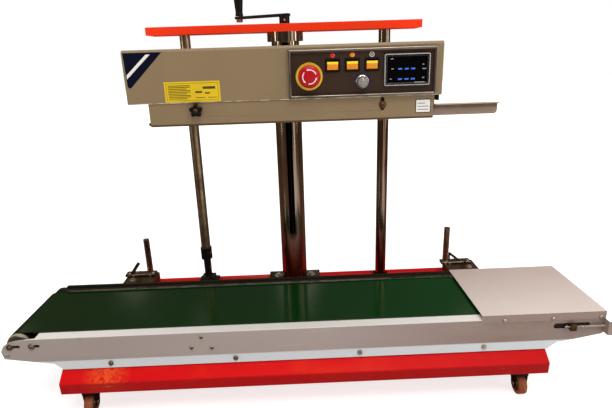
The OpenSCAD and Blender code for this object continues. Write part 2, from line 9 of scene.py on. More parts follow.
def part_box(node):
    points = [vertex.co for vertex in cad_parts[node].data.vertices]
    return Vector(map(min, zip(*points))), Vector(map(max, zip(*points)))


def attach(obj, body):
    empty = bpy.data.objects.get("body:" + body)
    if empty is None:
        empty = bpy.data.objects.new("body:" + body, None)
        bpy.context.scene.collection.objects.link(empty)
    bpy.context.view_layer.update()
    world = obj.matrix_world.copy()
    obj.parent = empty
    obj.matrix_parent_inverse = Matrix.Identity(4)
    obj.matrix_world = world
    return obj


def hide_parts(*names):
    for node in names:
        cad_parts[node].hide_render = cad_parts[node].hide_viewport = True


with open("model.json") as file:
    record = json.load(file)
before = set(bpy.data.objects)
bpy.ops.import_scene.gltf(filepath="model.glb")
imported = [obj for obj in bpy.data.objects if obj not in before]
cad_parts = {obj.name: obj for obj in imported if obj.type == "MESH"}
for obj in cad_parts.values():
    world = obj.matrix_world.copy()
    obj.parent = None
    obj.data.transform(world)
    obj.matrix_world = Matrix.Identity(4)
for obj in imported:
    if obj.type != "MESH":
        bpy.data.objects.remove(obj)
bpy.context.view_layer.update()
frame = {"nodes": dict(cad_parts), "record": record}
scene = bpy.context.scene

MM = 0.001
UP, LEFT, FRONT, BACK, RIGHT = ((0, 0, 1), (-1, 0, 0), (0, -1, 0), (0, 1, 0), (1, 0, 0))


def center(node):
    """Middle of a CAD node's box."""
    lo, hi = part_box(node)
    return tuple((a + b) / 2 for a, b in zip(lo, hi))


# ---- shader graphs ----

WEAR_WIDTH = 0.0022  # metres along a sharp edge where paint wears off

# Heights above the floor between which a finish, or the painted light and shade on it, changes
# painted shade: the beam's downward-facing lower facet, below this fold, is made darker
BEAM_FOLD_SHADE = (0.094, 0.0985)
FLANGE_TOP = (0.134, 0.138)
# painted light on the side plates' foot flange, below these heights
PLATE_FOOT = (0.1385, 0.1405)
# painted light on the side plates' rolled top edge, above these heights
PLATE_ROLL = (0.1985, 0.2)
# painted reflection of the red beam on the columns' feet, below these heights
RED_BEAM_REFLECTION = (0.17, 0.33)


class Nodes:
    """Short calls that add nodes to a tree and join them up. Colours are (red, green, blue)."""

    def __init__(self, tree, coordinates="Object"):
        self.tree = tree
        self.where = self.add("TexCoord").outputs[coordinates]

    def add(self, kind, inputs=None, **settings):
        node = self.tree.nodes.new("ShaderNode" + kind)
        for key, value in settings.items():
            setattr(node, key, value)
        for key, value in (inputs or {}).items():
            self.join(value, node.inputs[key])
        return node

    def join(self, value, socket):
        if isinstance(value, bpy.types.NodeSocket):
            self.tree.links.new(value, socket)
        else:
            socket.default_value = value

    def noise(self, scale, detail=3.0, stretch=(1, 1, 1), rough=0.55):
        place = self.add("Mapping", {"Vector": self.where, "Scale": stretch})
        inputs = {"Vector": place.outputs[0], "Scale": scale, "Detail": detail, "Roughness": rough}
        return self.add("TexNoise", inputs).outputs[0]

    def spread(self, value, low, high, to_low=0.0, to_high=1.0):
        return self.add("MapRange", {0: value, 1: low, 2: high, 3: to_low, 4: to_high}).outputs[0]

    def fade(self, value, full, none):
        """1 up to the first limit, falling to 0 at the second."""
        return self.spread(value, full, none, 1.0, 0.0)

    def specks(self, low, high, scale, detail=5.0, stretch=(1, 1, 1)):
        """Sharp-edged noise: 0 below the low threshold, 1 above the high one."""
        return self.spread(self.noise(scale, detail, stretch, 0.7), low, high)

    def maths(self, operation, a, b=0.0):
        return self.add("Math", {0: a, 1: b}, operation=operation).outputs[0]

    def times(self, a, b):
        return self.maths("MULTIPLY", a, b)

    def plus(self, base, where, amount):
        return self.maths("ADD", base, self.times(where, amount))

    def vector(self, operation, a, b=(0, 0, 0)):
        outputs = self.add("VectorMath", {0: a, 1: b}, operation=operation).outputs
        return outputs["Vector" if operation in ("SUBTRACT", "MULTIPLY") else "Value"]

    def mix(self, share, a, b):
        a, b = (c if isinstance(c, bpy.types.NodeSocket) else (*c, 1.0) for c in (a, b))
        return self.add("Mix", {0: share, 6: a, 7: b}, data_type="RGBA").outputs[2]

    def over(self, shade, where, amount, color):
        """Lays a colour over the shade, as strongly as where times amount."""
        return self.mix(self.times(where, amount), shade, color)

    def axis(self, letter):
        return self.add("SeparateXYZ", {0: self.where}).outputs["XYZ".index(letter)]


class Graph(Nodes):
    """The nodes of one material, which end in its Principled shader."""

    def __init__(self, name, shine=0.5, metallic=0.0):
        self.material = bpy.data.materials.new(name)
        self.material.use_nodes = True
        super().__init__(self.material.node_tree)
        self.shader = self.tree.nodes["Principled BSDF"]
        self.put("Specular IOR Level", shine)
        self.put("Metallic", metallic)

    def put(self, name, value):
        self.join(value, self.shader.inputs[name])

    def mottled(self, where, color, dark, light):
        """The colour times dark where the factor is 0, times light where it is 1."""
        return self.mix(where, *(tuple(min(1.0, c * share) for c in color) for share in (dark, light)))

    def uneven(self, low, high, scale=24.0):
        """Roughness that wanders between two values."""
        return self.spread(self.noise(scale, 4.0), 0.3, 0.7, low, high)

    def worn_edges(self, low, high, scale):
        """Broken wear: 1 on bare sharp edges, 0 on flat faces."""
        soft = self.add("Bevel", {"Radius": WEAR_WIDTH}, samples=4).outputs[0]
        same = self.vector("DOT_PRODUCT", soft, self.add("NewGeometry").outputs["Normal"])
        sharp = self.spread(self.maths("SUBTRACT", 1.0, same), 0.05, 0.3)
        return self.times(sharp, self.specks(low, high, scale, 6.0))

    def relief(self, height, strength, distance, under=None):
        inputs = {"Height": height, "Strength": strength, "Distance": distance}
        if under is not None:
            inputs["Normal"] = under
        return self.add("Bump", inputs).outputs[0]

    def grain(self, scale, detail, strength, distance):
        return self.relief(self.noise(scale, detail), strength, distance)

    def glow(self, color, strength):
        self.put("Emission Color", color)
        self.put("Emission Strength", strength)

    def finish(self, color, roughness, normal):
        self.put("Base Color", color)
        self.put("Roughness", roughness)
        self.put("Normal", normal)
        return self.material


def painted(name, color, roughness, grain, tone, chips=None, dust=0.0, shine=0.5, rim=None):
    """Baked coat: cloudy tone, orange peel, chipped edges, a little dust and a marked lower rim."""
    g = Graph(name, shine)
    cloud = g.noise(7.0, 5.0)
    shade = g.mottled(g.spread(cloud, 0.3, 0.7), color, 1 - tone, 1 + tone)
    rough = g.uneven(roughness - 0.05, roughness + 0.09)
    if dust:
        shade = g.over(shade, g.specks(0.66, 0.74, 160.0, 6.0), dust, (0.42, 0.36, 0.3))
    if chips:
        bare, amount = chips
        worn = g.worn_edges(0.62 - amount, 0.66, 55.0)
        shade = g.mix(worn, shade, bare)
        rough = g.plus(rough, worn, 0.15)
    # lower rim band: broken worn paint on the head case, painted shade along the skirt's bottom fold
    if rim:
        level, tall, edge_color, broken = rim
        band = g.fade(g.axis("Z"), level + tall, level + tall * 1.3)
        if broken:
            band = g.times(band, g.specks(0.44, 0.54, 38.0))
        shade = g.mix(band, shade, edge_color)
    peel = g.grain(grain[0], 2.0, grain[1], 0.0004)
    return g.finish(shade, rough, g.relief(cloud, 0.12, 0.002, peel))


def head_enamel(name, rim=None):
    """Beige enamel of the head's case, covers and skirt."""
    chips = ((0.62, 0.52, 0.38), 0.16)
    return painted(name, (0.255, 0.18, 0.1), 0.42, (1000, 0.35), 0.05, chips, 0.05, 0.3, rim)


def steel(name, color, roughness, lines=(1, 1, 1), depth=0.15, stain=None, spots=0.0):
    """Bare or plated metal with drawn lines, smears, and an optional darker stain and rust spots."""
    g = Graph(name, metallic=1.0)
    smear = g.noise(16.0, 5.0, tuple(1.0 if s == 1 else 3.0 for s in lines))
    shade = g.mottled(g.spread(smear, 0.3, 0.7), color, 0.86, 1.1)
    rough = g.spread(g.noise(30.0, 5.0), 0.3, 0.75, roughness * 0.8, roughness * 1.5)
    if stain:
        film, amount = stain
        where = g.spread(g.noise(11.0, 7.0, rough=0.65), 0.62 - amount, 0.72)
        shade = g.mix(where, shade, film)
        rough = g.plus(rough, where, 0.2)
    if spots:
        shade = g.over(shade, g.specks(0.68, 0.74, 220.0, 4.0), spots, (0.1, 0.055, 0.03))
    return g.finish(shade, rough, g.relief(g.noise(70.0, 3.0, lines), depth, 0.0002))


def plastic(name, color, roughness, shine=0.5, grain=(1400, 0.2), coat=0.0, scuff=0.05):
    """Moulded plastic or a printed film, with a fine grain and an optional clear coat."""
    g = Graph(name, shine)
    shade = g.mottled(g.spread(g.noise(40.0, 4.0), 0.35, 0.7), color, 1 - scuff, 1 + scuff)
    if coat:
        g.put("Coat Weight", coat)
        g.put("Coat Roughness", 0.06)
    rough = g.uneven(roughness - 0.04, roughness + 0.08, 90.0)
    return g.finish(shade, rough, g.grain(grain[0], 2.0, grain[1], 0.0003))


def glowing(name, color, strength):
    """Lit display segment."""
    g = Graph(name)
    g.glow((*color, 1.0), strength)
    shade = g.mottled(g.spread(g.noise(500.0), 0.3, 0.7), color, 0.92, 1.05)
    return g.finish(shade, 0.3, g.grain(1200.0, 3.0, 0.1, 0.0002))


def column_chrome(name, middle, bore):
    """Hard chrome with a painted reflection of the red beam at its foot, over a rusty flange, and painted
    shade that makes the steel within the bore dark.
    """
    g = Graph(name, metallic=1.0)
    smear = g.noise(9.0, 6.0, (1, 1, 0.35), 0.65)
    shade = g.mix(g.spread(smear, 0.35, 0.65), (0.24, 0.165, 0.11), (0.44, 0.36, 0.29))
    shade = g.over(shade, g.specks(0.66, 0.74, 120.0), 0.6, (0.16, 0.09, 0.05))
    flat = g.vector("MULTIPLY", g.vector("SUBTRACT", g.where, middle), (1, 1, 0))
    # painted shade: inside the bore the chrome is made near-black and rougher
    bore_shade = g.fade(g.vector("LENGTH", flat), bore + 0.0006, bore + 0.0012)
    shade = g.mix(bore_shade, shade, (0.012, 0.01, 0.009))
    # painted reflection: the red beam mirrored in the column's foot
    shade = g.mix(g.spread(g.axis("Z"), *RED_BEAM_REFLECTION, 0.85, 0.0), shade, (0.4, 0.055, 0.03))
    shade = g.mix(g.fade(g.axis("Z"), *FLANGE_TOP), shade, (0.055, 0.03, 0.016))
    rough = g.plus(g.spread(smear, 0.3, 0.7, 0.08, 0.22), bore_shade, 0.5)
    return g.finish(shade, rough, g.relief(g.noise(60.0, 3.0, (1, 1, 0.02)), 0.06, 0.0002))


def belt_surface(name):
    """Smooth PVC conveyor belt: glossy deep green, darker to the left as a painted reflection of the head,
    with faint scuffs across its travel.
    """
    g = Graph(name, 0.27)
    scuff = g.specks(0.6, 0.75, 26.0, 6.0, (0.25, 1, 1))
    # painted reflection: the belt is darker to the left, where the head's dark underside is mirrored
    shade = g.mix(g.spread(g.axis("X"), -0.62, 0.25), (0.0042, 0.0165, 0.002), (0.0028, 0.04, 0.0072))
    shade = g.over(shade, g.spread(g.noise(3.5, 4.0), 0.3, 0.7), 0.4, (0.003, 0.026, 0.004))
    shade = g.over(shade, scuff, 0.08, (0.04, 0.09, 0.045))
    rough = g.plus(g.spread(g.noise(12.0, 5.0), 0.3, 0.75, 0.07, 0.14), scuff, 0.15)
    return g.finish(shade, rough, g.grain(700.0, 2.0, 0.1, 0.0003))


def red_paint(name, glint_at):
    """Orange-red enamel with painted light: lighter and faintly glowing higher up, a painted glint near the
    front beam's left end and painted shade on the beam's lower facet; also darker to the right, with
    mottling, specks and worn edges.
    """
    g = Graph(name, 0.14)
    cloud = g.noise(4.5, 5.0, (1, 2, 2))
    # painted light: the paint is lighter the higher it stands, as if lit from above
    high = g.spread(g.axis("Z"), 0.13, 0.8)
    shade = g.mix(high, (0.7, 0.006, 0.009), (0.96, 0.047, 0.014))
    shade = g.over(shade, g.spread(cloud, 0.52, 0.72), 0.45, (0.86, 0.05, 0.012))
    away = g.times(g.spread(g.axis("X"), -0.05, 0.55), g.maths("SUBTRACT", 0.75, high))
    shade = g.mix(g.maths("MAXIMUM", away, 0.0), shade, (0.52, 0.009, 0.013))
    # painted glint: a warm highlight on the front beam's upper facet near its left end
    spot = g.fade(g.vector("DISTANCE", g.where, glint_at), 0.006, 0.058)
    warm = g.times(spot, g.spread(g.noise(150.0, 4.0), 0.35, 0.55))
    shade = g.over(shade, warm, 0.62, (0.95, 0.15, 0.032))
    # painted shade on the beam's lower facet
    shade = g.over(shade, g.fade(g.axis("Z"), *BEAM_FOLD_SHADE), 0.75, (0.27, 0.005, 0.006))
    shade = g.over(shade, g.specks(0.68, 0.75, 170.0), 0.55, (0.16, 0.02, 0.01))
    shade = g.over(shade, g.specks(0.66, 0.72, 60.0, 6.0, (0.12, 1, 1)), 0.35, (0.8, 0.22, 0.1))
    shade = g.over(shade, g.worn_edges(0.45, 0.65, 50.0), 0.7, (0.85, 0.2, 0.08))
    g.put("Specular Tint", (1.0, 0.25, 0.18, 1))
    # painted light: the high parts glow faintly though they are no lamp
    g.glow(shade, g.spread(high, 0.5, 1.0, 0.0, 0.12))
    peel = g.grain(420.0, 2.0, 0.1, 0.0004)
    return g.finish(shade, g.uneven(0.24, 0.42, 20.0), g.relief(cloud, 0.12, 0.002, peel))


def conveyor_sheet(name):
    """Grey side sheet with painted light: a pale rolled top edge and a paler, cooler foot flange, both
    lighter as if lit from above.
    """
    g = Graph(name)
    shade = g.mix(g.spread(g.axis("X"), -0.6, -0.1), (0.335, 0.285, 0.262), (0.385, 0.322, 0.306))
    shade = g.mix(g.spread(g.axis("X"), 0.05, 0.45), shade, (0.24, 0.168, 0.137))
    streak = g.spread(g.noise(5.0, 6.0, (1, 1, 5), 0.65), 0.35, 0.68)
    shade = g.over(shade, streak, 0.16, (0.44, 0.39, 0.37))
    shade = g.over(shade, g.specks(0.64, 0.72, 140.0, 5.0, (0.06, 1, 1)), 0.3, (0.6, 0.56, 0.53))
    # painted light: the splayed foot flange is made paler and bluer, as if lit from above
    shade = g.mix(g.fade(g.axis("Z"), *PLATE_FOOT), shade, (0.6, 0.655, 0.69))
    # painted light: the rolled top edge is made pale, as if lit from above
    shade = g.mix(g.spread(g.axis("Z"), *PLATE_ROLL), shade, (0.8, 0.785, 0.765))
    shade = g.over(shade, g.specks(0.66, 0.74, 90.0, 6.0), 0.3, (0.22, 0.17, 0.13))
    return g.finish(shade, g.uneven(0.34, 0.48), g.grain(1500.0, 2.0, 0.12, 0.0004))


def cover_enamel(name, front, back):
    """Speckled pale enamel, brighter towards its front edge, with painted shade on its front-facing faces,
    which are darker brown, and worn edges.
    """
    g = Graph(name, 0.3)
    shade = g.mix(g.spread(g.axis("Y"), front, back), (0.71, 0.625, 0.595), (0.5, 0.4, 0.37))
    shade = g.over(shade, g.spread(g.noise(6.0, 4.0), 0.35, 0.65), 0.25, (0.56, 0.48, 0.45))
    # painted shade: faces that look to the front are made darker brown
    normal = g.add("SeparateXYZ", {0: g.add("NewGeometry").outputs["Normal"]}).outputs["Y"]
    shade = g.mix(g.fade(normal, -0.9, -0.6), shade, (0.285, 0.21, 0.18))
    shade = g.over(shade, g.specks(0.56, 0.66, 420.0, 3.0), 0.22, (0.36, 0.3, 0.27))
    shade = g.over(shade, g.worn_edges(0.5, 0.66, 55.0), 0.6, (0.75, 0.72, 0.7))
    return g.finish(shade, g.uneven(0.36, 0.52), g.grain(420.0, 3.0, 0.5, 0.0004))


def fence_enamel(name, belt_top):
    """Near-black enamel with a faint green tint as a painted reflection of the belt, browned along its foot,
    with a painted highlight line just above the belt.
    """
    g = Graph(name, 0.1)
    height = g.maths("SUBTRACT", g.axis("Z"), belt_top)
    cloud = g.spread(g.noise(9.0, 5.0, (0.3, 1, 1)), 0.3, 0.7)
    # painted reflection: the faint green tint stands for the belt mirrored in the fence
    shade = g.mix(cloud, (0.007, 0.009, 0.005), (0.014, 0.016, 0.009))
    shade = g.mix(g.fade(height, 0.0044, 0.0062), shade, (0.055, 0.023, 0.016))
    # painted highlight: a bright broken line just above the belt, for light caught on the fence's lower edge
    highlight_line = g.times(g.fade(height, 0.0016, 0.0026), g.specks(0.4, 0.52, 5.0, 6.0))
    shade = g.mix(highlight_line, shade, (0.8, 0.75, 0.68))
    shade = g.over(shade, g.specks(0.7, 0.75, 200.0), 0.3, (0.2, 0.15, 0.11))
    return g.finish(shade, g.spread(cloud, 0, 1, 0.2, 0.34), g.grain(420.0, 3.0, 0.08, 0.0003))


def tray_enamel(name, bottom, lip):
    """Beige tray enamel with a band of painted shade under the lip, for the shadowed inside of the channel, a
    painted highlight along the lip, and paler along the bottom.
    """
    g = Graph(name, 0.3)
    height = g.spread(g.axis("Z"), bottom, lip)
    # painted shade: the upper part, under the lip, is made dark brown
    shade = g.mix(g.spread(height, 0.5, 0.66), (0.3, 0.215, 0.165), (0.115, 0.065, 0.04))
    # painted highlight: the top of the lip is made light
    shade = g.mix(g.spread(height, 0.93, 0.96), shade, (0.56, 0.42, 0.28))
    cloud = g.specks(0.35, 0.65, 26.0, 6.0, (0.4, 1, 1))
    shade = g.over(shade, cloud, 0.4, (0.36, 0.27, 0.21))
    shade = g.over(shade, g.specks(0.66, 0.72, 160.0), 0.5, (0.09, 0.05, 0.03))
    return g.finish(shade, g.spread(cloud, 0, 1, 0.34, 0.5), g.grain(700.0, 3.0, 0.25, 0.0003))


def rocker_lens(name, middle, half):
    """Lit amber switch cap that glows; its upper half is painted lighter yellow as if lit from above, the
    lower half is orange.
    """
    g = Graph(name)
    # painted light: the upper half is lighter yellow, as if lit from above
    top = g.spread(g.maths("SUBTRACT", g.axis("Z"), middle), half * 0.25, half * 0.55)
    low = g.mix(g.spread(g.noise(300.0), 0.35, 0.65), (0.55, 0.16, 0.006), (0.74, 0.27, 0.01))
    shade = g.mix(top, low, (0.92, 0.66, 0.012))
    g.glow(shade, 0.22)
    g.put("Coat Weight", 0.3)
    g.put("Coat Roughness", 0.1)
    return g.finish(shade, 0.28, g.grain(900.0, 3.0, 0.08, 0.0002))


def woven_band(name):
    """Coated glass cloth: fine crossing threads under a brown film."""
    g = Graph(name)
    warp, weft = (g.add("TexWave", {"Vector": g.where, "Scale": 320.0}, bands_direction=way).outputs[1]
                  for way in ("X", "Z"))
    weave = g.times(warp, weft)
    shade = g.mix(g.spread(g.noise(30.0, 5.0), 0.3, 0.7), (0.33, 0.2, 0.1), (0.46, 0.31, 0.18))
    return g.finish(shade, g.spread(weave, 0, 1, 0.35, 0.5), g.relief(weave, 0.3, 0.0002))


def rolling_tread(name):
    """Brown caster tread, dusty where it rolls."""
    g = Graph(name, 0.2)
    dusty = g.specks(0.4, 0.7, 60.0, 6.0)
    shade = g.mix(dusty, (0.22, 0.055, 0.018), (0.33, 0.115, 0.045))
    return g.finish(shade, g.spread(dusty, 0, 1, 0.45, 0.75), g.grain(260.0, 4.0, 0.35, 0.0004))


center_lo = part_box("column_center")[0]
beam_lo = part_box("base_front_beam")[0]
COLUMN_AT = (center("column_center")[0], center_lo.y + 0.049, 0)
# where the painted glint on the front beam sits
PAINTED_GLINT_AT = (beam_lo.x + 0.105, beam_lo.y + 0.012, beam_lo.z + 0.04)
BORE, NO_BORE = 0.033, -1.0
rocker_lo, rocker_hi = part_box("rocker_left")
cover_lo, cover_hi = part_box("end_cover")
tray_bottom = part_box("exit_tray")[0].z
ALONG_Z, ALONG_Y = (1, 1, 0.02), (1, 60, 1)
CASE_RIM = (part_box("head_case")[0].z, 0.0012, (0.62, 0.54, 0.42), True)
# painted shade: a dark brown band along the skirt's downward-facing bottom fold
SKIRT_FOLD_SHADE = (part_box("front_skirt")[0].z, 0.0042, (0.11, 0.062, 0.026), False)
PALE_CHIPS, BROWN_CHIPS = ((0.6, 0.55, 0.5), 0.12), ((0.16, 0.1, 0.07), 0.05)
PRINT, EVEN = (1500, 0.1), (1, 1, 1)

RECIPES = {
    "red_paint": (red_paint, PAINTED_GLINT_AT),
    "dark_steel": (steel, (0.135, 0.08, 0.042), 0.38, ALONG_Y, 0.25, ((0.05, 0.03, 0.02), 0.12)),
    "chrome_steel": (steel, (0.6, 0.48, 0.35), 0.14, ALONG_Z, 0.06, ((0.14, 0.085, 0.05), 0.14), 0.6),
    "column_chrome": (column_chrome, COLUMN_AT, BORE),
    "guide_chrome": (column_chrome, COLUMN_AT, NO_BORE),
    "collar_steel": (steel, (0.5, 0.39, 0.28), 0.24, ALONG_Z, 0.1, ((0.2, 0.12, 0.07), 0.14)),
    "bolt_steel": (steel, (0.62, 0.56, 0.48), 0.28, EVEN, 0.2, ((0.14, 0.08, 0.045), 0.1)),
    "screw_steel": (steel, (0.05, 0.045, 0.04), 0.3, EVEN, 0.1),
    "black_plastic": (plastic, (0.005, 0.005, 0.005), 0.42, 0.2),
    "black_metal": (painted, (0.006, 0.005, 0.005), 0.4, (600, 0.2), 0.2, BROWN_CHIPS, 0.0, 0.22),
    "shaft_steel": (steel, (0.46, 0.36, 0.235), 0.26, (1, 1, 0.03), 0.12, ((0.1, 0.065, 0.035), 0.14), 0.8),
    "conveyor_sheet": (conveyor_sheet,),
    "cover_sheet": (cover_enamel, cover_lo.y, cover_hi.y - 0.02),
    "belt_green": (belt_surface,),
    "roller_steel": (steel, (0.62, 0.58, 0.52), 0.3, ALONG_Y, 0.2, ((0.25, 0.18, 0.12), 0.03)),
    "fence_paint": (fence_enamel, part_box("conveyor_belt")[1].z),
    "head_paint": (head_enamel,),
    "case_paint": (head_enamel, CASE_RIM),
    "skirt_paint": (head_enamel, SKIRT_FOLD_SHADE),
    "zinc_sheet": (steel, (0.55, 0.53, 0.5), 0.34, EVEN, 0.12),
    "panel_brown": (painted, (0.042, 0.024, 0.015), 0.42, (1400, 0.2), 0.08, None, 0.0, 0.16),
    "yellow_plastic": (plastic, (0.74, 0.47, 0.025), 0.34),
    "red_plastic": (plastic, (0.46, 0.004, 0.012), 0.32, 0.25, (900, 0.1), 0.05, 0.12),
    "lit_amber": (rocker_lens, (rocker_lo.z + rocker_hi.z) / 2, (rocker_hi.z - rocker_lo.z) / 2),
    "grey_plastic": (plastic, (0.24, 0.235, 0.23), 0.38),
    "controller_black": (plastic, (0.008, 0.008, 0.01), 0.16, 0.5, (2000, 0.03), 0.5),
    "rust_bolt": (steel, (0.26, 0.14, 0.07), 0.38, EVEN, 0.3, ((0.14, 0.06, 0.03), 0.12)),
    "bracket_sheet": (painted, (0.27, 0.205, 0.175), 0.42, (500, 0.3), 0.12, PALE_CHIPS, 0.15, 0.3),
    "tray_sheet": (tray_enamel, tray_bottom, tray_bottom + 0.025),
    "motor_grey": (painted, (0.1, 0.12, 0.14), 0.45, (300, 0.5), 0.1),
    "block_brass": (steel, (0.55, 0.38, 0.15), 0.3, (60, 1, 1), 0.2),
    "sealing_band": (woven_band,),
    "caster_tread": (rolling_tread,),
    "print_white": (painted, (0.8, 0.79, 0.76), 0.42, (1200, 0.1), 0.04),
    "print_blue": (plastic, (0.003, 0.0045, 0.02), 0.4, 0.12, PRINT),
    "print_yellow": (plastic, (0.72, 0.5, 0.015), 0.42, 0.2, PRINT),
    "print_brown": (plastic, (0.085, 0.055, 0.012), 0.5, 0.2, PRINT),
    "print_grey": (plastic, (0.36, 0.35, 0.34), 0.42, 0.5, PRINT),
    "bezel_grey": (plastic, (0.4, 0.385, 0.36), 0.34, 0.5, PRINT),
    "display_glass": (plastic, (0.002, 0.0018, 0.0022), 0.1, 0.1, (2000, 0.02)),
    "dial_print": (plastic, (0.016, 0.02, 0.13), 0.4, 0.5, PRINT),
    "frame_silver": (steel, (0.3, 0.26, 0.225), 0.34),
    "knob_cap": (steel, (0.74, 0.71, 0.66), 0.3, EVEN, 0.2),
    "bright_trim": (steel, (0.78, 0.76, 0.72), 0.22, (0.02, 1, 1), 0.1),
    "led_blue": (glowing, (0.04, 0.14, 0.62), 0.34),
    "lamp_red": (plastic, (0.6, 0.02, 0.02), 0.2, 0.5, (900, 0.05), 0.6),
    "lamp_orange": (plastic, (0.8, 0.22, 0.02), 0.2, 0.5, (900, 0.05), 0.6),
    "washer_tan": (painted, (0.4, 0.33, 0.25), 0.45, (500, 0.3), 0.15, PALE_CHIPS, 0.2, 0.3),
    "hub_steel": (steel, (0.5, 0.44, 0.36), 0.36, EVEN, 0.3, ((0.12, 0.07, 0.04), 0.15)),
}
FINISH = {name: make(name, *values) for name, (make, *values) in RECIPES.items()}

# ---- mesh helpers: each one adds to a bmesh and gives it back ----


def shift(x, y, z):
    return Matrix.Translation((x, y, z))


def spin(degrees, axis):
    return Matrix.Rotation(radians(degrees), 4, axis)


def facing(at, axis=UP, turn=0.0):
    """Matrix that carries local +Z onto axis, with the origin at that point."""
    swing = Vector(UP).rotation_difference(Vector(axis)).to_matrix().to_4x4()
    return Matrix.Translation(Vector(at)) @ swing @ Matrix.Rotation(turn, 4, "Z")


def upright(y):
    """Matrix for outlines drawn in X,Z: local +Z looks to the front, starting at y."""
    return shift(0, y, 0) @ spin(90, "X")


def ahead(x, y, z):
    return facing((x, y, z), FRONT)


def joined(bm, rings, closed=False):
    """Walls between rings of points. A closed run meets itself; an open one gets two caps."""
    for low, high in zip(rings, rings[1:] + rings[:1] if closed else rings[1:]):
        for i in range(len(low)):
            j = (i + 1) % len(low)
            bm.faces.new((low[i], low[j], high[j], high[i]))
    if not closed:
        bm.faces.new(reversed(rings[0]))
        bm.faces.new(rings[-1])
    return bm


def ring(bm, place, height, count, radius_at):
    """One round of points; radius_at gives a point's radius from its number and angle."""
    points = []
    for i in range(count):
        a = 2 * pi * i / count
        r = radius_at(i, a)
        points.append(bm.verts.new(place @ Vector((r * cos(a), r * sin(a), height))))
    return points


def ring_radius(angle, radius, shape=""):
    """Radius of a round, hexagon or cross-recess outline at an angle."""
    if shape == "hex":
        return radius / cos((angle % (pi / 3)) - pi / 6) * cos(pi / 6)
    if shape == "cross":
        off = min(angle % (pi / 2), pi / 2 - angle % (pi / 2))
        return radius if off < 0.3 else radius * 0.34
    return radius


def turned(bm, place, rows, segments=24, closed=False):
    """Solid of revolution from rows of (radius, height) or (radius, height, shape)."""
    rings = [ring(bm, place, height, segments, lambda i, a: ring_radius(a, radius, *shape))
             for radius, height, *shape in rows]
    return joined(bm, rings, closed)


def hollow(bm, place, rows, segments=24):
    """Closed ring of revolution: the rows run round a closed cross-section."""
    return turned(bm, place, rows, segments, True)


def thread(bm, place, radius, length, pitch, depth, segments):
    """Rod whose radius rises and falls along a screw line, in four steps a turn."""
    rows = int(length / pitch * 4)
    rings = []
    for k in range(rows + 1):
        z = length * k / rows
        rings.append(ring(bm, place, z, segments,
                          lambda i, a: radius - depth * abs(2 * ((z / pitch - i / segments) % 1.0) - 1)))
    return joined(bm, rings)


def slab(bm, place, outline, thickness):
    """Flat plate from an outline in local X,Y, grown along local +Z."""
    faces = [[bm.verts.new(place @ Vector((x, y, z))) for x, y in outline] for z in (0, thickness)]
    return joined(bm, faces)


def block(bm, lo, hi):
    wide, deep, tall = (b - a for a, b in zip(lo, hi))
    return slab(bm, shift(0, 0, lo[2]), rect(lo[0], lo[1], wide, deep), tall)


def banded(bm, loops):
    """Frame from pairs of (outline in X,Z, Y position) that run round its cross-section."""
    return joined(bm, [[bm.verts.new((x, y, z)) for x, z in outline] for outline, y in loops], True)


def rect(x, y, wide, tall):
    return [(x, y), (x + wide, y), (x + wide, y + tall), (x, y + tall)]


def rounded(x0, x1, y0, y1, r, steps=5):
    """Outline of a rectangle with round corners."""
    corners = ((x1 - r, y1 - r, 0), (x0 + r, y1 - r, 90), (x0 + r, y0 + r, 180), (x1 - r, y0 + r, 270))
    points = []
    for cx, cy, start in corners:
        for k in range(steps + 1):
            a = radians(start + 90 * k / steps)
            points.append((cx + r * cos(a), cy + r * sin(a)))
    return points


def nested(lo, hi, inset, inner_r):
    """Outer and inner outline of a frame round an upright box."""
    return (rounded(lo.x + i, hi.x - i, lo.z + i, hi.z - i, r, 3) for i, r in ((0, 0.003), (inset, inner_r)))


def arc(start, sweep, inner, outer, steps):
    """Outlines of the short pieces of a flat arc; the angles are in degrees."""
    for k in range(steps):
        a, b = (radians(start + sweep * t / steps) for t in (k, k + 1))
        yield [(r * cos(t), r * sin(t)) for r, t in ((inner, a), (outer, a), (outer, b), (inner, b))]


def hex_head(bm, place, r, h):
    """Hexagon head with a chamfered top, and a washer under it."""
    washer = h * 0.25
    turned(bm, place, [(r * 1.45, 0), (r * 1.5, washer * 0.2), (r * 1.5, washer * 0.8), (r * 1.45, washer)])
    return turned(bm, place, [(r, washer, "hex"), (r, h * 0.86, "hex"), (r * 0.86, h)])


def pan_screw(bm, place, r, h, recess="cross"):
    """Domed screw head with a recess cut into it."""
    return turned(bm, place, [(r * 0.96, 0), (r, h * 0.18), (r * 0.93, h * 0.55), (r * 0.72, h * 0.86),
                              (r * 0.6, h * 0.94), (r * 0.5, h * 0.97, recess), (r * 0.46, h * 0.3, recess)])


def piece(name, bm, body, slot, finish=None, bevel=0.0, smooth=True, replaces=()):
    """Turns a bmesh into an object that rides on a CAD body, in its slot's finish unless one is named."""
    bmesh.ops.recalc_face_normals(bm, faces=bm.faces)
    mesh = bpy.data.meshes.new(name)
    bm.to_mesh(mesh)
    bm.free()
    mesh.polygons.foreach_set("use_smooth", [smooth] * len(mesh.polygons))
    if smooth:
        mesh.set_sharp_from_angle(angle=radians(40))
    made = bpy.data.objects.new(name, mesh)
    scene.collection.objects.link(made)
    mesh.materials.append(FINISH[finish or slot])
    if bevel:
        soften(made, bevel)
    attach(made, body)
    if replaces:
        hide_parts(*replaces)


def soften(made, width):
    """Rounds the sharp edges."""
    bevel = made.modifiers.new("edges", "BEVEL")
    bevel.width = width
    bevel.segments = 2
    bevel.limit_method = "ANGLE"
    bevel.angle_limit = radians(38)
    bevel.harden_normals = True


# ---- CAD nodes that keep their shape ----

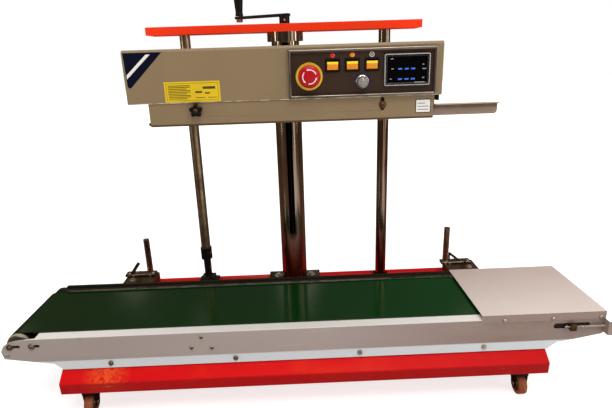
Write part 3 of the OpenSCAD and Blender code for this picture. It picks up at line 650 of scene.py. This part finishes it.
SOFT_EDGE = {
    "base_front_beam": 1.6, "base_rear_beam": 1.6, "top_bar": 1.2, "base_cross_channels": 1.0,
    "crank_arm": 0.8, "conveyor_front_plate": 0.5, "conveyor_rear_plate": 0.5, "end_cover": 0.5,
    "bag_fence": 0.4, "head_case": 0.8, "head_rear_cover": 0.8, "front_skirt": 0.5, "exit_tray": 0.4,
    "conveyor_gearbox": 1.0, "drive_coupling": 0.6, "gearmotor": 2.0, "sealing_blocks": 0.5,
    "post_braces": 0.5, "tension_brackets": 0.4, "switch_bezels": 0.5, "temperature_controller": 0.8,
    "roller_bearing": 0.8, "take_up_blocks": 0.5, "lift_nut_and_bushes": 0.8, "rocker_left": 0.4,
    "rocker_middle": 0.4, "rocker_right": 0.4,
}
OWN_FINISH = {
    "head_case": "case_paint", "front_skirt": "skirt_paint", "tension_brackets": "bracket_sheet",
    "column_center": "column_chrome", "column_right": "guide_chrome", "lift_nut_and_bushes": "collar_steel",
}


def dress(name, finish):
    """Gives a CAD node its material and, where it has sharp edges, a small rounding."""
    node = frame["nodes"][name]
    mesh = node.data
    mesh.materials.clear()
    mesh.materials.append(finish)
    if name in SOFT_EDGE:
        if "custom_normal" in mesh.attributes:
            mesh.attributes.remove(mesh.attributes["custom_normal"])
        mesh.polygons.foreach_set("use_smooth", [True] * len(mesh.polygons))
        weld = node.modifiers.new("weld", "WELD")
        weld.merge_threshold = 0.00001
        soften(node, SOFT_EDGE[name] * MM)


for part in frame["record"]["subparts"]:
    dress(part["node"], FINISH[OWN_FINISH.get(part["node"], part["material_slot"])])

# ---- conveyor details ----

plate_lo, plate_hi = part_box("conveyor_front_plate")
PLATE_FACE = plate_hi.y - 0.025
FLANGE_LEAN = radians(16)


def on_plate(x, z, out=0.0):
    """Point on the front side plate: x from its left end, z above the floor."""
    return (plate_lo.x + x, PLATE_FACE - out, z)


def side_plate_fasteners():
    bm = bmesh.new()
    for x, z in ((0.461, 0.188), (0.4365, 0.161), (0.4834, 0.159)):
        pan_screw(bm, facing(on_plate(x, z), FRONT), 0.0046, 0.0028)
    for x in (0.022, 0.072):
        hex_head(bm, facing(on_plate(x, 0.1815), FRONT, 0.3), 0.005, 0.0052)
    turned(bm, facing(on_plate(0.185, 0.196), FRONT), [(0.0016, 0), (0.0016, 0.0006), (0.001, 0.0009)], 12)
    piece("side_plate_fasteners", bm, "frame", "bolt_steel", "hub_steel")
    rows = [(0.0016, 0), (0.0042, 0), (0.0042, 0.0008), (0.0036, 0.0014), (0.0022, 0.0014), (0.0016, 0.0008)]
    eyelet = hollow(bmesh.new(), facing(on_plate(0.013, 0.16), FRONT), rows)
    piece("side_plate_eyelet", eyelet, "frame", "bolt_steel", "bright_trim")


def cover_screws():
    bm = bmesh.new()
    for x in (0.053, 0.167, 0.28):
        at = (cover_lo.x + x, cover_lo.y + 0.002, cover_lo.z + 0.005)
        pan_screw(bm, facing(at, FRONT), 0.0046, 0.0034)
        pan_screw(bm, facing((at[0], cover_hi.y, cover_lo.z + 0.01), BACK), 0.0042, 0.0024)
    piece("cover_screws", bm, "frame", "bolt_steel")


def frame_bolt_heads():
    """Bolts with washers in the places of the CAD bolt node."""
    bm = bmesh.new()
    flange_top = center_lo.z + 0.012
    for side in (-1, 1):
        at = (COLUMN_AT[0] + side * 0.052, COLUMN_AT[1], flange_top)
        hex_head(bm, facing(at, UP, 0.4 * side), 0.0078, 0.0075)
    tilt = (0, -cos(FLANGE_LEAN), sin(FLANGE_LEAN))
    for x in (0.247, 0.537, 0.828, 1.122):
        hex_head(bm, facing(on_plate(x, 0.1306, 0.0029), tilt, x), 0.0041, 0.0046)
    channel_lo, channel_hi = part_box("base_cross_channels")
    for x in (channel_lo.x + 0.0255, channel_hi.x - 0.0255):
        hex_head(bm, facing((x, channel_hi.y - 0.053, channel_hi.z), UP, 0.2), 0.0058, 0.0058)
    x, y, z = center("column_right")
    pan_screw(bm, facing((x, y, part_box("top_bar")[1].z), UP, 0.5), 0.009, 0.0024, "hex")
    piece("frame_bolt_heads", bm, "frame", "bolt_steel", replaces=["frame_bolts"])


def tension_screw(name, node, body):
    """Threaded take-up screw with its head and the nut against the bracket."""
    lo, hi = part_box(node)
    x, y, z = center(node)
    bm = thread(bmesh.new(), facing((lo.x, y, z), RIGHT), 0.003, hi.x - lo.x - 0.004, 0.00125, 0.0005, 12)
    head = [(0.0054, 0, "hex"), (0.0054, 0.0033, "hex"), (0.0046, 0.004)]
    turned(bm, facing((hi.x - 0.004, y, z), RIGHT), head)
    nut = [(0.0048, 0), (0.0055, 0.0006, "hex"), (0.0055, 0.0024, "hex"), (0.0048, 0.003)]
    turned(bm, facing((hi.x - 0.0155, y, z), RIGHT), nut)
    piece(name, bm, body, "bolt_steel", replaces=[node])


def lead_screw():
    """Threaded screw with its plain top end and the thrust collar under the crank."""
    lo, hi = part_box("lead_screw")
    x, y, z = center("lead_screw")
    foot = facing((x, y, lo.z), UP)
    bm = thread(bmesh.new(), foot, 0.01, 0.69, 0.004, 0.0012, 20)
    turned(bm, facing((x, y, lo.z + 0.689), UP), [(0.0098, 0), (0.0098, 0.045)])
    collar = hi.z - 0.0017 - lo.z
    turned(bm, foot, [(0.0165, collar), (0.017, collar + 0.0004), (0.017, 0.7336), (0.0166, 0.734)], 32)
    piece("lead_screw_thread", bm, "crank", "screw_steel", replaces=["lead_screw"])


def coupling_screws():
    """Socket set screws that clamp the shaft in its coupling."""
    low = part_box("drive_coupling")[0].z
    x, y, z = center("drive_coupling")
    rows = [(0.0036, 0), (0.0036, 0.0014), (0.0032, 0.0018), (0.0019, 0.0018, "hex"), (0.0019, 0.0004, "hex")]
    bm = bmesh.new()
    for up, r, a in ((0.078, 0.0163, -35), (0.078, 0.0163, 85), (0.03, 0.0104, -20)):
        out = (cos(radians(a)), sin(radians(a)), 0)
        turned(bm, facing((x + r * out[0], y + r * out[1], low + up), out), rows)
    piece("coupling_set_screws", bm, "conveyor_drive", "bolt_steel")


def crank_handle():
    """Turned handle with finger rings, on its shoulder bolt."""
    x, y, z = center("crank_grip")
    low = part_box("crank_grip")[0].z
    foot = facing((x, y, low), UP)
    rows = [(0.0085, 0.0162), (0.0108, 0.017), (0.0112, 0.02), (0.01, 0.0225), (0.0102, 0.03),
            (0.0112, 0.042), (0.0122, 0.054), (0.013, 0.066), (0.0137, 0.078), (0.014, 0.087),
            (0.0136, 0.0925), (0.0122, 0.0965), (0.009, 0.0985), (0.004, 0.099)]
    grip = turned(bmesh.new(), foot, rows, 36)
    piece("crank_handle_grip", grip, "crank_handle", "black_plastic", replaces=["crank_grip"])
    nut = [(0.0078, 0), (0.009, 0.001, "hex"), (0.009, 0.007, "hex"), (0.0086, 0.0074)]
    bolt = turned(bmesh.new(), foot, nut)
    turned(bolt, facing((x, y, low + 0.0072), UP), [(0.0049, 0), (0.0049, 0.0105)])
    piece("crank_handle_bolt", bolt, "crank_handle", "black_plastic", "hub_steel")
    x, y, z = center("lead_screw")
    hub = ahead(x, y - 0.0138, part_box("lead_screw")[1].z + 0.008)
    piece("crank_hub_screw", pan_screw(bmesh.new(), hub, 0.003, 0.0018, "hex"), "crank", "bolt_steel")


def clamp_details():
    """Bright metal strips as a painted highlight on the clamps' lit top edges, round-headed bolts and lever
    ends on the two post clamps.
    """
    lo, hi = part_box("post_braces")
    front, top, length = lo.y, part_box("rear_posts")[0].z + 0.008, 0.094
    edges, heads, levers = bmesh.new(), bmesh.new(), bmesh.new()
    for x0, lean, lever_at in ((lo.x, -48, 0.012), (hi.x - length, 52, 0.066)):
        # painted highlight: a bright strip along each clamp's lit front top edge
        block(edges, (x0 + 0.001, front - 0.0022, top - 0.0026), (x0 + length - 0.001, front, top + 0.0007))
        for x in (x0 + 0.026, x0 + 0.078 if lean < 0 else x0 + 0.012):
            rows = [(0.0032, 0), (0.0034, 0.001), (0.0028, 0.003), (0.0016, 0.0036), (0.0012, 0.0036, "hex")]
            turned(heads, ahead(x, front, top - 0.0056), rows)
        for x, y in ((x0 + 0.012, 0.008), (x0 + length - 0.008, 0.008), (x0 + 0.034, 0.019)):
            pan_screw(heads, facing((x, front + y, top), UP), 0.004, 0.0028)
        swing = spin(lean, "Y")
        at = shift(x0 + lever_at, front - 0.0028, top - 0.006)
        slab(levers, at @ swing @ upright(0), rounded(-0.0035, 0.0035, -0.013, 0.013, 0.003, 3), 0.0022)
    piece("clamp_edge_highlight_strips", edges, "frame", "dark_steel", "bright_trim", 0.0004)
    piece("clamp_bolt_heads", heads, "frame", "bolt_steel")
    piece("clamp_lever_ends", levers, "frame", "dark_steel", bevel=0.0004)


def slot_shade_strips():
    """Black strips of painted shade behind the plate's slots: two slide with the take-up blocks, two are
    fixed.
    """
    middle, y, z = center("tension_roller")
    back = PLATE_FACE + 0.003
    sliding, fixed = bmesh.new(), bmesh.new()
    for x0, x1 in ((-0.0285, -0.0085), (0.0085, 0.052)):
        block(sliding, (middle + x0, back + 0.0012, z - 0.009), (middle + x1, back + 0.002, z + 0.009))
    piece("take_up_slot_shade_strips", sliding, "take_up", "dark_steel", "black_metal", 0.0002)
    block(fixed, (middle - 0.044, back, z - 0.009), (middle - 0.0225, back + 0.0006, z + 0.009))
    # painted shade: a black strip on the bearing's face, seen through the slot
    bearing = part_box("roller_bearing")[0]
    block(fixed, (bearing.x + 0.004, PLATE_FACE + 0.0023, bearing.z + 0.002),
          (bearing.x + 0.0745, PLATE_FACE + 0.0027, bearing.z + 0.024))
    piece("fixed_slot_shade_strips", fixed, "frame", "black_metal", bevel=0.0002)


def drive_roller_washer():
    """Pale pressed washer on the drive roller's end, seen between the belt and the side plate."""
    x, y, z = center("drive_roller")
    place = ahead(x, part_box("conveyor_belt")[0].y - 0.002, z)
    rows = [(0.004, -0.001), (0.0235, -0.001), (0.0262, 0.0), (0.0268, 0.004), (0.024, 0.0075),
            (0.012, 0.0085), (0.004, 0.0085)]
    washer = hollow(bmesh.new(), place, rows, 48)
    piece("drive_roller_washer", washer, "drive_roller_body", "roller_steel", "washer_tan")


# ---- casters ----


def axle_direction(body):
    """Axis of the joint that turns this body, as the record gives it."""
    joints = frame["record"]["behaviour"]["joints"]
    return next(joint["axis"] for joint in joints if joint["child"] == body)


def caster_wheel(node, body):
    """Rounded tread on a dished hub, with the axle bolt through the fork."""
    place = facing(center(node), axle_direction(body))
    rows = [(0.0175, -0.0094), (0.0222, -0.0098), (0.0242, -0.0088), (0.0249, -0.0062), (0.025, 0.0),
            (0.0249, 0.0062), (0.0242, 0.0088), (0.0222, 0.0098), (0.0175, 0.0094)]
    tread = hollow(bmesh.new(), place, rows, 48)
    piece(node.replace("caster_wheel", "tread"), tread, body, "caster_tread", replaces=[node])
    rows = [(0.0046, -0.01), (0.008, -0.01), (0.0086, -0.0072), (0.016, -0.0066), (0.0178, -0.009),
            (0.0178, 0.009), (0.016, 0.0066), (0.0086, 0.0072), (0.008, 0.01), (0.0046, 0.01)]
    hub = hollow(bmesh.new(), place, rows, 36)
    turned(hub, place, [(0.004, -0.015), (0.004, 0.015)], 18)
    for side in (-1, 1):
        end = place @ shift(0, 0, side * 0.0148) @ spin(180 * (side < 0), "X")
        turned(hub, end, [(0.0062, 0, "hex"), (0.0062, 0.0018, "hex"), (0.0052, 0.0022)])
    piece(node.replace("caster_wheel", "hub"), hub, body, "caster_tread", "hub_steel")


# ---- sealing head ----

head_lo, head_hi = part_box("head_case")
skirt_lo, skirt_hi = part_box("front_skirt")
panel_lo, panel_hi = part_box("control_panel")
rear_lo, rear_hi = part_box("head_rear_cover")
PANEL_FACE = panel_lo.y + 0.003
FILM = 0.0003  # thickness of a sticker
RIM = 0.0046  # width of the panel's frame


def prints(name, y, outlines, finish, thickness=0.00012, body="head", slot="head_paint"):
    """Thin flat marks or stickers on an upright face at y."""
    bm = bmesh.new()
    for outline in outlines:
        slab(bm, upright(y), outline, thickness)
    piece(name, bm, body, slot, finish, smooth=False)


def corner_decal():
    """Plain dark corner triangle with one pale band along its slanted side."""
    x, z = head_lo.x, head_hi.z - 0.0052
    dark = [(x + 0.0035, z), (x + 0.0055, z - 0.066), (x + 0.0075, z - 0.0695), (x + 0.0115, z - 0.07),
            (x + 0.015, z - 0.067), (x + 0.083, z)]
    prints("corner_decal", head_lo.y, [dark], "print_blue", FILM)
    band = [(x + 0.0062, z - 0.052), (x + 0.0062, z - 0.044), (x + 0.05, z - 0.004), (x + 0.059, z - 0.004)]
    prints("corner_decal_band", head_lo.y - FILM, [band], "print_white", FILM / 2)


def note_plate():
    """Yellow plate with a border, ruled bars and a plain diagram."""
    x, z = head_lo.x + 0.08, head_lo.z + 0.002
    prints("note_plate", head_lo.y, [rounded(x, x + 0.116, z, z + 0.042, 0.001, 2)], "print_yellow", FILM)
    border = [(0.004, 0.038, 0.108, 0.0006), (0.004, 0.0034, 0.108, 0.0006),
              (0.004, 0.0034, 0.0006, 0.0352), (0.1114, 0.0034, 0.0006, 0.0352)]
    ruled = [(0.008, 0.0065 + 0.0033 * k, 0.046 if k % 3 else 0.038, 0.0015) for k in range(9)]
    diagram = [(0.064, 0.018, 0.014, 0.004), (0.08, 0.026, 0.026, 0.005), (0.084, 0.016, 0.01, 0.003),
               (0.064, 0.008, 0.02, 0.0012), (0.09, 0.008, 0.018, 0.0012)]
    marks = [rect(x + left, z + low, wide, tall) for left, low, wide, tall in border + ruled + diagram]
    prints("note_plate_bars", head_lo.y - FILM, marks, "print_brown")


def skirt_plate():
    """Small pale rating plate, left blank but for three bars."""
    x, z, y = skirt_hi.x - 0.039, skirt_lo.z + 0.012, skirt_lo.y
    edge, inner = (rounded(x + i, x + 0.033 - i, z + i, z + 0.029 - i, 0.001, 2) for i in (0, 0.0015))
    prints("skirt_plate_edge", y, [edge], "print_blue", FILM, "skirt")
    prints("skirt_plate", y - FILM, [inner], "print_white", FILM / 2, "skirt")
    sizes = ((0.006, 0.024), (0.0125, 0.024), (0.019, 0.016))
    bars = [rect(x + 0.0045, z + up, wide, 0.0022) for up, wide in sizes]
    prints("skirt_plate_bars", y - FILM * 1.5, bars, "print_grey", body="skirt")


def panel_frame():
    """Bright bevelled frame round the control panel."""
    x, y, z = center("control_panel")
    out, inn = nested(panel_lo, panel_hi, RIM, 0.002)

    def grown(outline, by):
        return [(px + copysign(1, px - x) * by, pz + copysign(1, pz - z) * by) for px, pz in outline]

    lip, ridge = panel_lo.y - 0.0004, panel_lo.y - 0.0014
    loops = ((out, head_lo.y - 0.0002), (out, lip), (grown(out, -0.0012), ridge), (grown(inn, 0.0012), ridge),
             (inn, lip), (inn, PANEL_FACE))
    piece("panel_frame", banded(bmesh.new(), loops), "head", "panel_brown", "frame_silver")


def indicators():
    """Marks over the three switches: two round lamps and a crossed ring."""
    for lamp, node in (("red", "rocker_left"), ("orange", "rocker_middle")):
        at = (center(node)[0], PANEL_FACE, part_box(node)[1].z + 0.0125)
        rows = [(0.0052, 0), (0.0052, 0.0004), (0.0044, 0.0012), (0.0026, 0.0018)]
        bm = turned(bmesh.new(), facing(at, FRONT), rows, 28)
        piece("indicator_" + lamp, bm, "head", "panel_brown", "lamp_" + lamp)
    x, z = center("rocker_right")[0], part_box("rocker_right")[1].z + 0.0125
    rows = [(0.0042, 0), (0.0052, 0), (0.0052, 0.0003), (0.0042, 0.0003)]
    bm = hollow(bmesh.new(), ahead(x, PANEL_FACE, z), rows, 28)
    for turn in (45, -45):
        stroke = shift(x, 0, z) @ spin(turn, "Y")
        slab(bm, stroke @ upright(PANEL_FACE), rect(-0.0042, -0.0004, 0.0084, 0.0008), 0.0003)
    piece("indicator_cross", bm, "head", "panel_brown", "print_white", smooth=False)


def dial():
    """Fluted knob with a bright cap and a pointer, in a printed arc with ticks."""
    x, y, z = center("speed_knob")
    base = PANEL_FACE - 0.0002
    place = ahead(x, base, z)
    bm = bmesh.new()
    rows = ((0.0135, 0.0), (0.0135, 0.0015), (0.0122, 0.0025), (0.0116, 0.0125), (0.0108, 0.0138))
    joined(bm, [ring(bm, place, height, 80, lambda i, a: radius * (1 if i % 4 or height < 0.002 else 0.95))
                for radius, height in rows])
    piece("speed_knob_body", bm, "speed_dial", "grey_plastic", "knob_cap", replaces=["speed_knob"])
    rows = [(0.0088, 0), (0.0088, 0.0006), (0.0082, 0.001)]
    cap = turned(bmesh.new(), ahead(x, base - 0.0136, z), rows, 36)
    piece("speed_knob_cap", cap, "speed_dial", "grey_plastic")
    half = 0.0006
    pointer = block(bmesh.new(), (x - half, base - 0.015, z + 0.0022), (x + half, base - 0.0144, z + 0.008))
    piece("speed_knob_pointer", pointer, "speed_dial", "grey_plastic", "print_white", smooth=False)
    bm = bmesh.new()
    flat = shift(x, 0, z) @ upright(base)
    for k in range(11):
        swing = spin(-60 + 30 * k, "Z")
        slab(bm, flat @ swing, rect(0.015, -0.0004, 0.0024, 0.0008), 0.0003)
    for outline in arc(-60, 300, 0.0178, 0.0186, 40):
        slab(bm, flat, outline, 0.0003)
    piece("dial_scale", bm, "head", "panel_brown", "dial_print", smooth=False)


def stop_button():
    """Mushroom head with three raised turning arrows."""
    x, y, z = center("e_stop_button")
    place = ahead(x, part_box("e_stop_button")[0].y + 0.014, z)
    rows = [(0.0074, -0.036), (0.0074, -0.0002), (0.0195, 0.0), (0.0208, 0.0006), (0.0226, 0.0042),
            (0.0231, 0.0055), (0.0228, 0.0072), (0.0215, 0.0096), (0.019, 0.0115), (0.0147, 0.013),
            (0.0096, 0.0137), (0.004, 0.014)]
    head = turned(bmesh.new(), place, rows, 48)
    piece("stop_button_head", head, "stop_button", "red_plastic", replaces=["e_stop_button"])
    bm = bmesh.new()
    for start in (20, 140, 260):
        for outline in arc(start, 78, 0.013, 0.0149, 12):
            slab(bm, place @ shift(0, 0, 0.0124), outline, 0.001)
        at_tip = spin(start + 78, "Z") @ shift(0, 0, 0.0118)
        slab(bm, place @ at_tip, [(0.0117, 0.0), (0.0162, 0.0), (0.0139, 0.0045)], 0.0015)
    piece("stop_button_arrows", bm, "stop_button", "red_plastic", "print_white", smooth=False)


def controller_face():
    """Pale bezel, two rows of blue bars and a few small marks on black glass."""
    lo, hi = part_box("temperature_controller")
    wide, tall, front, glass = hi.x - lo.x, hi.z - lo.z, lo.y, lo.y + 0.0009
    out, inn = nested(lo, hi, 0.0019, 0.0022)
    loops = ((out, front + 0.0048), (out, front - 0.0006), (inn, front - 0.0012), (inn, front + 0.001))
    piece("controller_bezel", banded(bmesh.new(), loops), "head", "controller_black", "bezel_grey")
    spots = [(lo.x + wide * u, lo.z + tall * v) for v in (0.5, 0.18) for u in (0.3, 0.445, 0.585)]
    digits = [rounded(x, x + 0.0086, z, z + 0.0031, 0.0008, 2) for x, z in spots]
    prints("controller_digits", glass, digits, "led_blue", 0.0002, slot="controller_black")
    places = ((0.13, 0.83, 0.006), (0.15, 0.52, 0.005), (0.12, 0.2, 0.004), (0.83, 0.64, 0.004),
              (0.83, 0.5, 0.008), (0.83, 0.22, 0.005), (0.66, 0.08, 0.022))
    marks = [rect(lo.x + wide * u, lo.z + tall * v, w, 0.0016) for u, v, w in places]
    prints("controller_marks", glass, marks, "print_grey", 0.0002, slot="controller_black")
    i = 0.0018
    pane = block(bmesh.new(), (lo.x + i, glass, lo.z + i), (hi.x - i, glass + 0.0002, hi.z - i))
    piece("controller_glass", pane, "head", "controller_black", "display_glass")


def star_knob():
    """Five-lobed clamping knob with a browned insert."""
    x, y, z = center("star_knob")
    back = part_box("star_knob")[1].y
    place = ahead(x, back - 0.006, z)

    def lobed(angle, share):
        lobe = 0.5 + 0.5 * cos(5 * (angle - radians(18)))
        return (0.0145 if share < 0.5 else 0.0098 + 0.0047 * lobe ** 0.8) * share

    bm = bmesh.new()
    rows = ((0.86, 0.0), (0.97, 0.0012), (1.0, 0.003), (1.0, 0.0085), (0.95, 0.0108), (0.8, 0.0119),
            (0.42, 0.0112), (0.3, 0.0104))
    joined(bm, [ring(bm, place, height, 80, lambda i, a: lobed(a, share)) for share, height in rows])
    turned(bm, ahead(x, back, z), [(0.0029, 0), (0.0029, 0.0065)], 18)
    piece("star_knob_body", bm, "skirt_knob", "black_plastic", replaces=["star_knob"])
    rows = [(0.0044, 0), (0.0044, 0.002), (0.0036, 0.0026)]
    insert = turned(bmesh.new(), ahead(x, back - 0.0155, z), rows)
    piece("star_knob_insert", insert, "skirt_knob", "black_plastic", "rust_bolt")


def skirt_clamp_bolt():
    """Browned bolt and washer in the skirt's slot."""
    x, y, z = center("skirt_bolt")
    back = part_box("skirt_bolt")[1].y
    bm = turned(bmesh.new(), ahead(x, back, z), [(0.0029, 0), (0.0029, 0.0026)], 18)
    washer = [(0.0078, 0), (0.008, 0.0002), (0.008, 0.001), (0.0078, 0.0012)]
    turned(bm, ahead(x, back - 0.0023, z), washer, 36)
    pan_screw(bm, ahead(x, back - 0.0035, z), 0.0052, 0.0036, "hex")
    piece("skirt_clamp_bolt", bm, "head", "rust_bolt", replaces=["skirt_bolt"])


def head_trim():
    """Screws of the covers, the skirt's side screw and the stop under the case's corner."""
    bm = bmesh.new()
    for x in (0.03, 0.23, 0.43, 0.63):
        for z in (rear_lo.z + 0.01, rear_hi.z - 0.012):
            pan_screw(bm, facing((rear_lo.x + x, rear_hi.y, z), BACK), 0.0036, 0.0022)
    for x, way in ((rear_lo.x, LEFT), (rear_hi.x, RIGHT)):
        for y in (head_lo.y + 0.03, head_hi.y - 0.02, rear_lo.y + 0.03, rear_hi.y - 0.03):
            pan_screw(bm, facing((x, y, rear_lo.z + 0.01), way), 0.0036, 0.0022)
    piece("cover_fixing_screws", bm, "head", "bolt_steel")
    side = facing((skirt_lo.x, skirt_lo.y + 0.004, skirt_lo.z + 0.006), LEFT)
    bm = turned(bmesh.new(), side, [(0.0034, 0, "hex"), (0.0034, 0.003, "hex"), (0.0028, 0.0036)])
    piece("skirt_side_screw", bm, "skirt", "black_metal")
    x, y, z = head_hi.x, head_lo.y, head_lo.z
    stop = block(bmesh.new(), (x - 0.01, y + 0.004, z - 0.012), (x - 0.004, y + 0.03, z))
    piece("case_stop", stop, "head", "black_metal", bevel=0.0008)


side_plate_fasteners()
cover_screws()
frame_bolt_heads()
for end in ("front", "rear"):
    tension_screw("take_up_thread_" + end, "tension_screw_" + end, "take_up_screw_" + end)
lead_screw()
coupling_screws()
crank_handle()
clamp_details()
slot_shade_strips()
drive_roller_washer()
for corner in ("front_left", "front_right", "rear_left", "rear_right"):
    caster_wheel("caster_wheel_" + corner, "wheel_" + corner)
corner_decal()
note_plate()
skirt_plate()
panel_frame()
indicators()
dial()
stop_button()
controller_face()
star_knob()
skirt_clamp_bolt()
head_trim()

# ---- stage ----

CAMERA_AT = Vector((-0.0167, -1.1893, 0.8024))
PITCH_DOWN, ROLL, YAW = 17.51, 1.84, -1.07
LENS = 27.9
FLOOR_GLOW, DIM_FLOOR = 0.6, (0.13, 0.074, 0.048)
POOL_GLOW, STREAK, BACKDROP = 0.75, (0.8, 0.72, 0.6), (1.0, 1.0, 1.0)
ROOM = ((0.4, (0.06, 0.045, 0.034)), (0.66, (0.075, 0.06, 0.048)), (0.82, (0.16, 0.145, 0.13)),
        (0.95, (1.0, 0.99, 0.96)))
LIGHTS = (
    ("key", (0.5, -1.5, 3.0), (0.1, 0, 0.3), (2.4, 1.4), 46, (1.0, 0.97, 0.93)),
    ("top", (0.2, 0.9, 3.2), (0, 0.1, 0.3), (3.0, 0.8), 22, (1.0, 0.98, 0.96)),
    ("front_panel", (1.55, -1.35, 0.95), (0.0, 0.19, 0.5), (0.36, 1.9), 3.6, (1.0, 0.96, 0.88)),
    ("left_strip", (-2.3, -0.9, 1.1), (-0.1, 0.1, 0.5), (0.18, 1.6), 7, (1.0, 0.93, 0.82)),
    ("right_strip", (2.5, -0.7, 1.2), (0, 0.1, 0.5), (0.22, 1.8), 9, (1.0, 0.95, 0.88)),
)


def make_camera():
    data = bpy.data.cameras.new("photo_camera")
    data.lens = LENS
    data.sensor_width = 36
    camera = bpy.data.objects.new("photo_camera", data)
    yaw, pitch, roll, level = (Matrix.Rotation(radians(angle), 3, axis)
                               for angle, axis in ((YAW, "Z"), (-PITCH_DOWN, "X"), (ROLL, "Y"), (90, "X")))
    camera.matrix_world = Matrix.Translation(CAMERA_AT) @ (yaw @ pitch @ roll @ level).to_4x4()
    scene.collection.objects.link(camera)
    scene.camera = camera


def area_light(name, at, aim, size, power, color):
    data = bpy.data.lights.new(name, "AREA")
    data.shape = "RECTANGLE"
    data.size, data.size_y = size
    data.energy = power
    data.color = color
    lamp = bpy.data.objects.new(name, data)
    lamp.location = at
    lamp.rotation_mode = "QUATERNION"
    lamp.rotation_quaternion = (Vector(aim) - Vector(at)).to_track_quat("-Z", "Y")
    scene.collection.objects.link(lamp)


def floor_finish():
    """Pale matt floor that whitens into the distance; mirrors see a dim one with a bright pool."""
    g = Graph("floor_pale", 0.1)
    ray = g.add("LightPath").outputs
    pale = g.mix(g.spread(g.noise(60.0), 0.3, 0.7), (0.61, 0.61, 0.61), (0.63, 0.63, 0.63))
    far = g.spread(g.vector("LENGTH", g.where), 1.0, 3.5, 0.16, 0.4)
    glow = g.maths("ADD", FLOOR_GLOW, g.times(ray["Is Camera Ray"], far))
    matt = g.maths("SUBTRACT", 1.0, ray["Is Glossy Ray"])
    across = g.times(g.spread(g.axis("X"), 0.22, 0.4), g.fade(g.axis("X"), 1.2, 1.7))
    pool = g.times(across, g.fade(g.axis("Y"), -0.4, -0.3))
    mirrored = g.times(ray["Is Glossy Ray"], g.times(pool, POOL_GLOW))
    g.glow((1, 1, 1, 1), g.maths("ADD", g.times(glow, matt), mirrored))
    return g.finish(g.mix(matt, DIM_FLOOR, pale), 0.8, g.grain(60.0, 3.0, 0.05, 0.0004))


def make_floor():
    reach = 12.0
    mesh = bpy.data.meshes.new("floor")
    corners = [(x, y, 0) for x, y in rect(-reach, -reach, 2 * reach, 2 * reach)]
    mesh.from_pydata(corners, [], [(0, 1, 2, 3)])
    floor = bpy.data.objects.new("floor", mesh)
    scene.collection.objects.link(floor)
    mesh.materials.append(floor_finish())


def make_world():
    """White backdrop to the eye; for light and reflections, a dim warm room with bright patches."""
    world = bpy.data.worlds.new("studio")
    world.use_nodes = True
    w = Nodes(world.node_tree, "Generated")
    room = w.add("ValToRGB", {0: w.spread(w.axis("Z"), -1.0, 1.0)})
    stops = room.color_ramp.elements
    while len(stops) < len(ROOM):
        stops.new(0.5)
    for stop, (height, color) in zip(stops, ROOM):
        stop.position, stop.color = height, (*color, 1)
    window = w.spread(w.noise(7.0, 1.0, (1.0, 1.0, 0.06), 0.5), 0.61, 0.66)
    seen = w.add("LightPath").outputs["Is Camera Ray"]
    shade = w.mix(seen, w.mix(window, room.outputs[0], STREAK), BACKDROP)
    w.join(shade, world.node_tree.nodes["Background"].inputs[0])
    scene.world = world


scene.view_settings.view_transform = "Standard"
make_camera()
make_floor()
make_world()
for light in LIGHTS:
    area_light(*light)
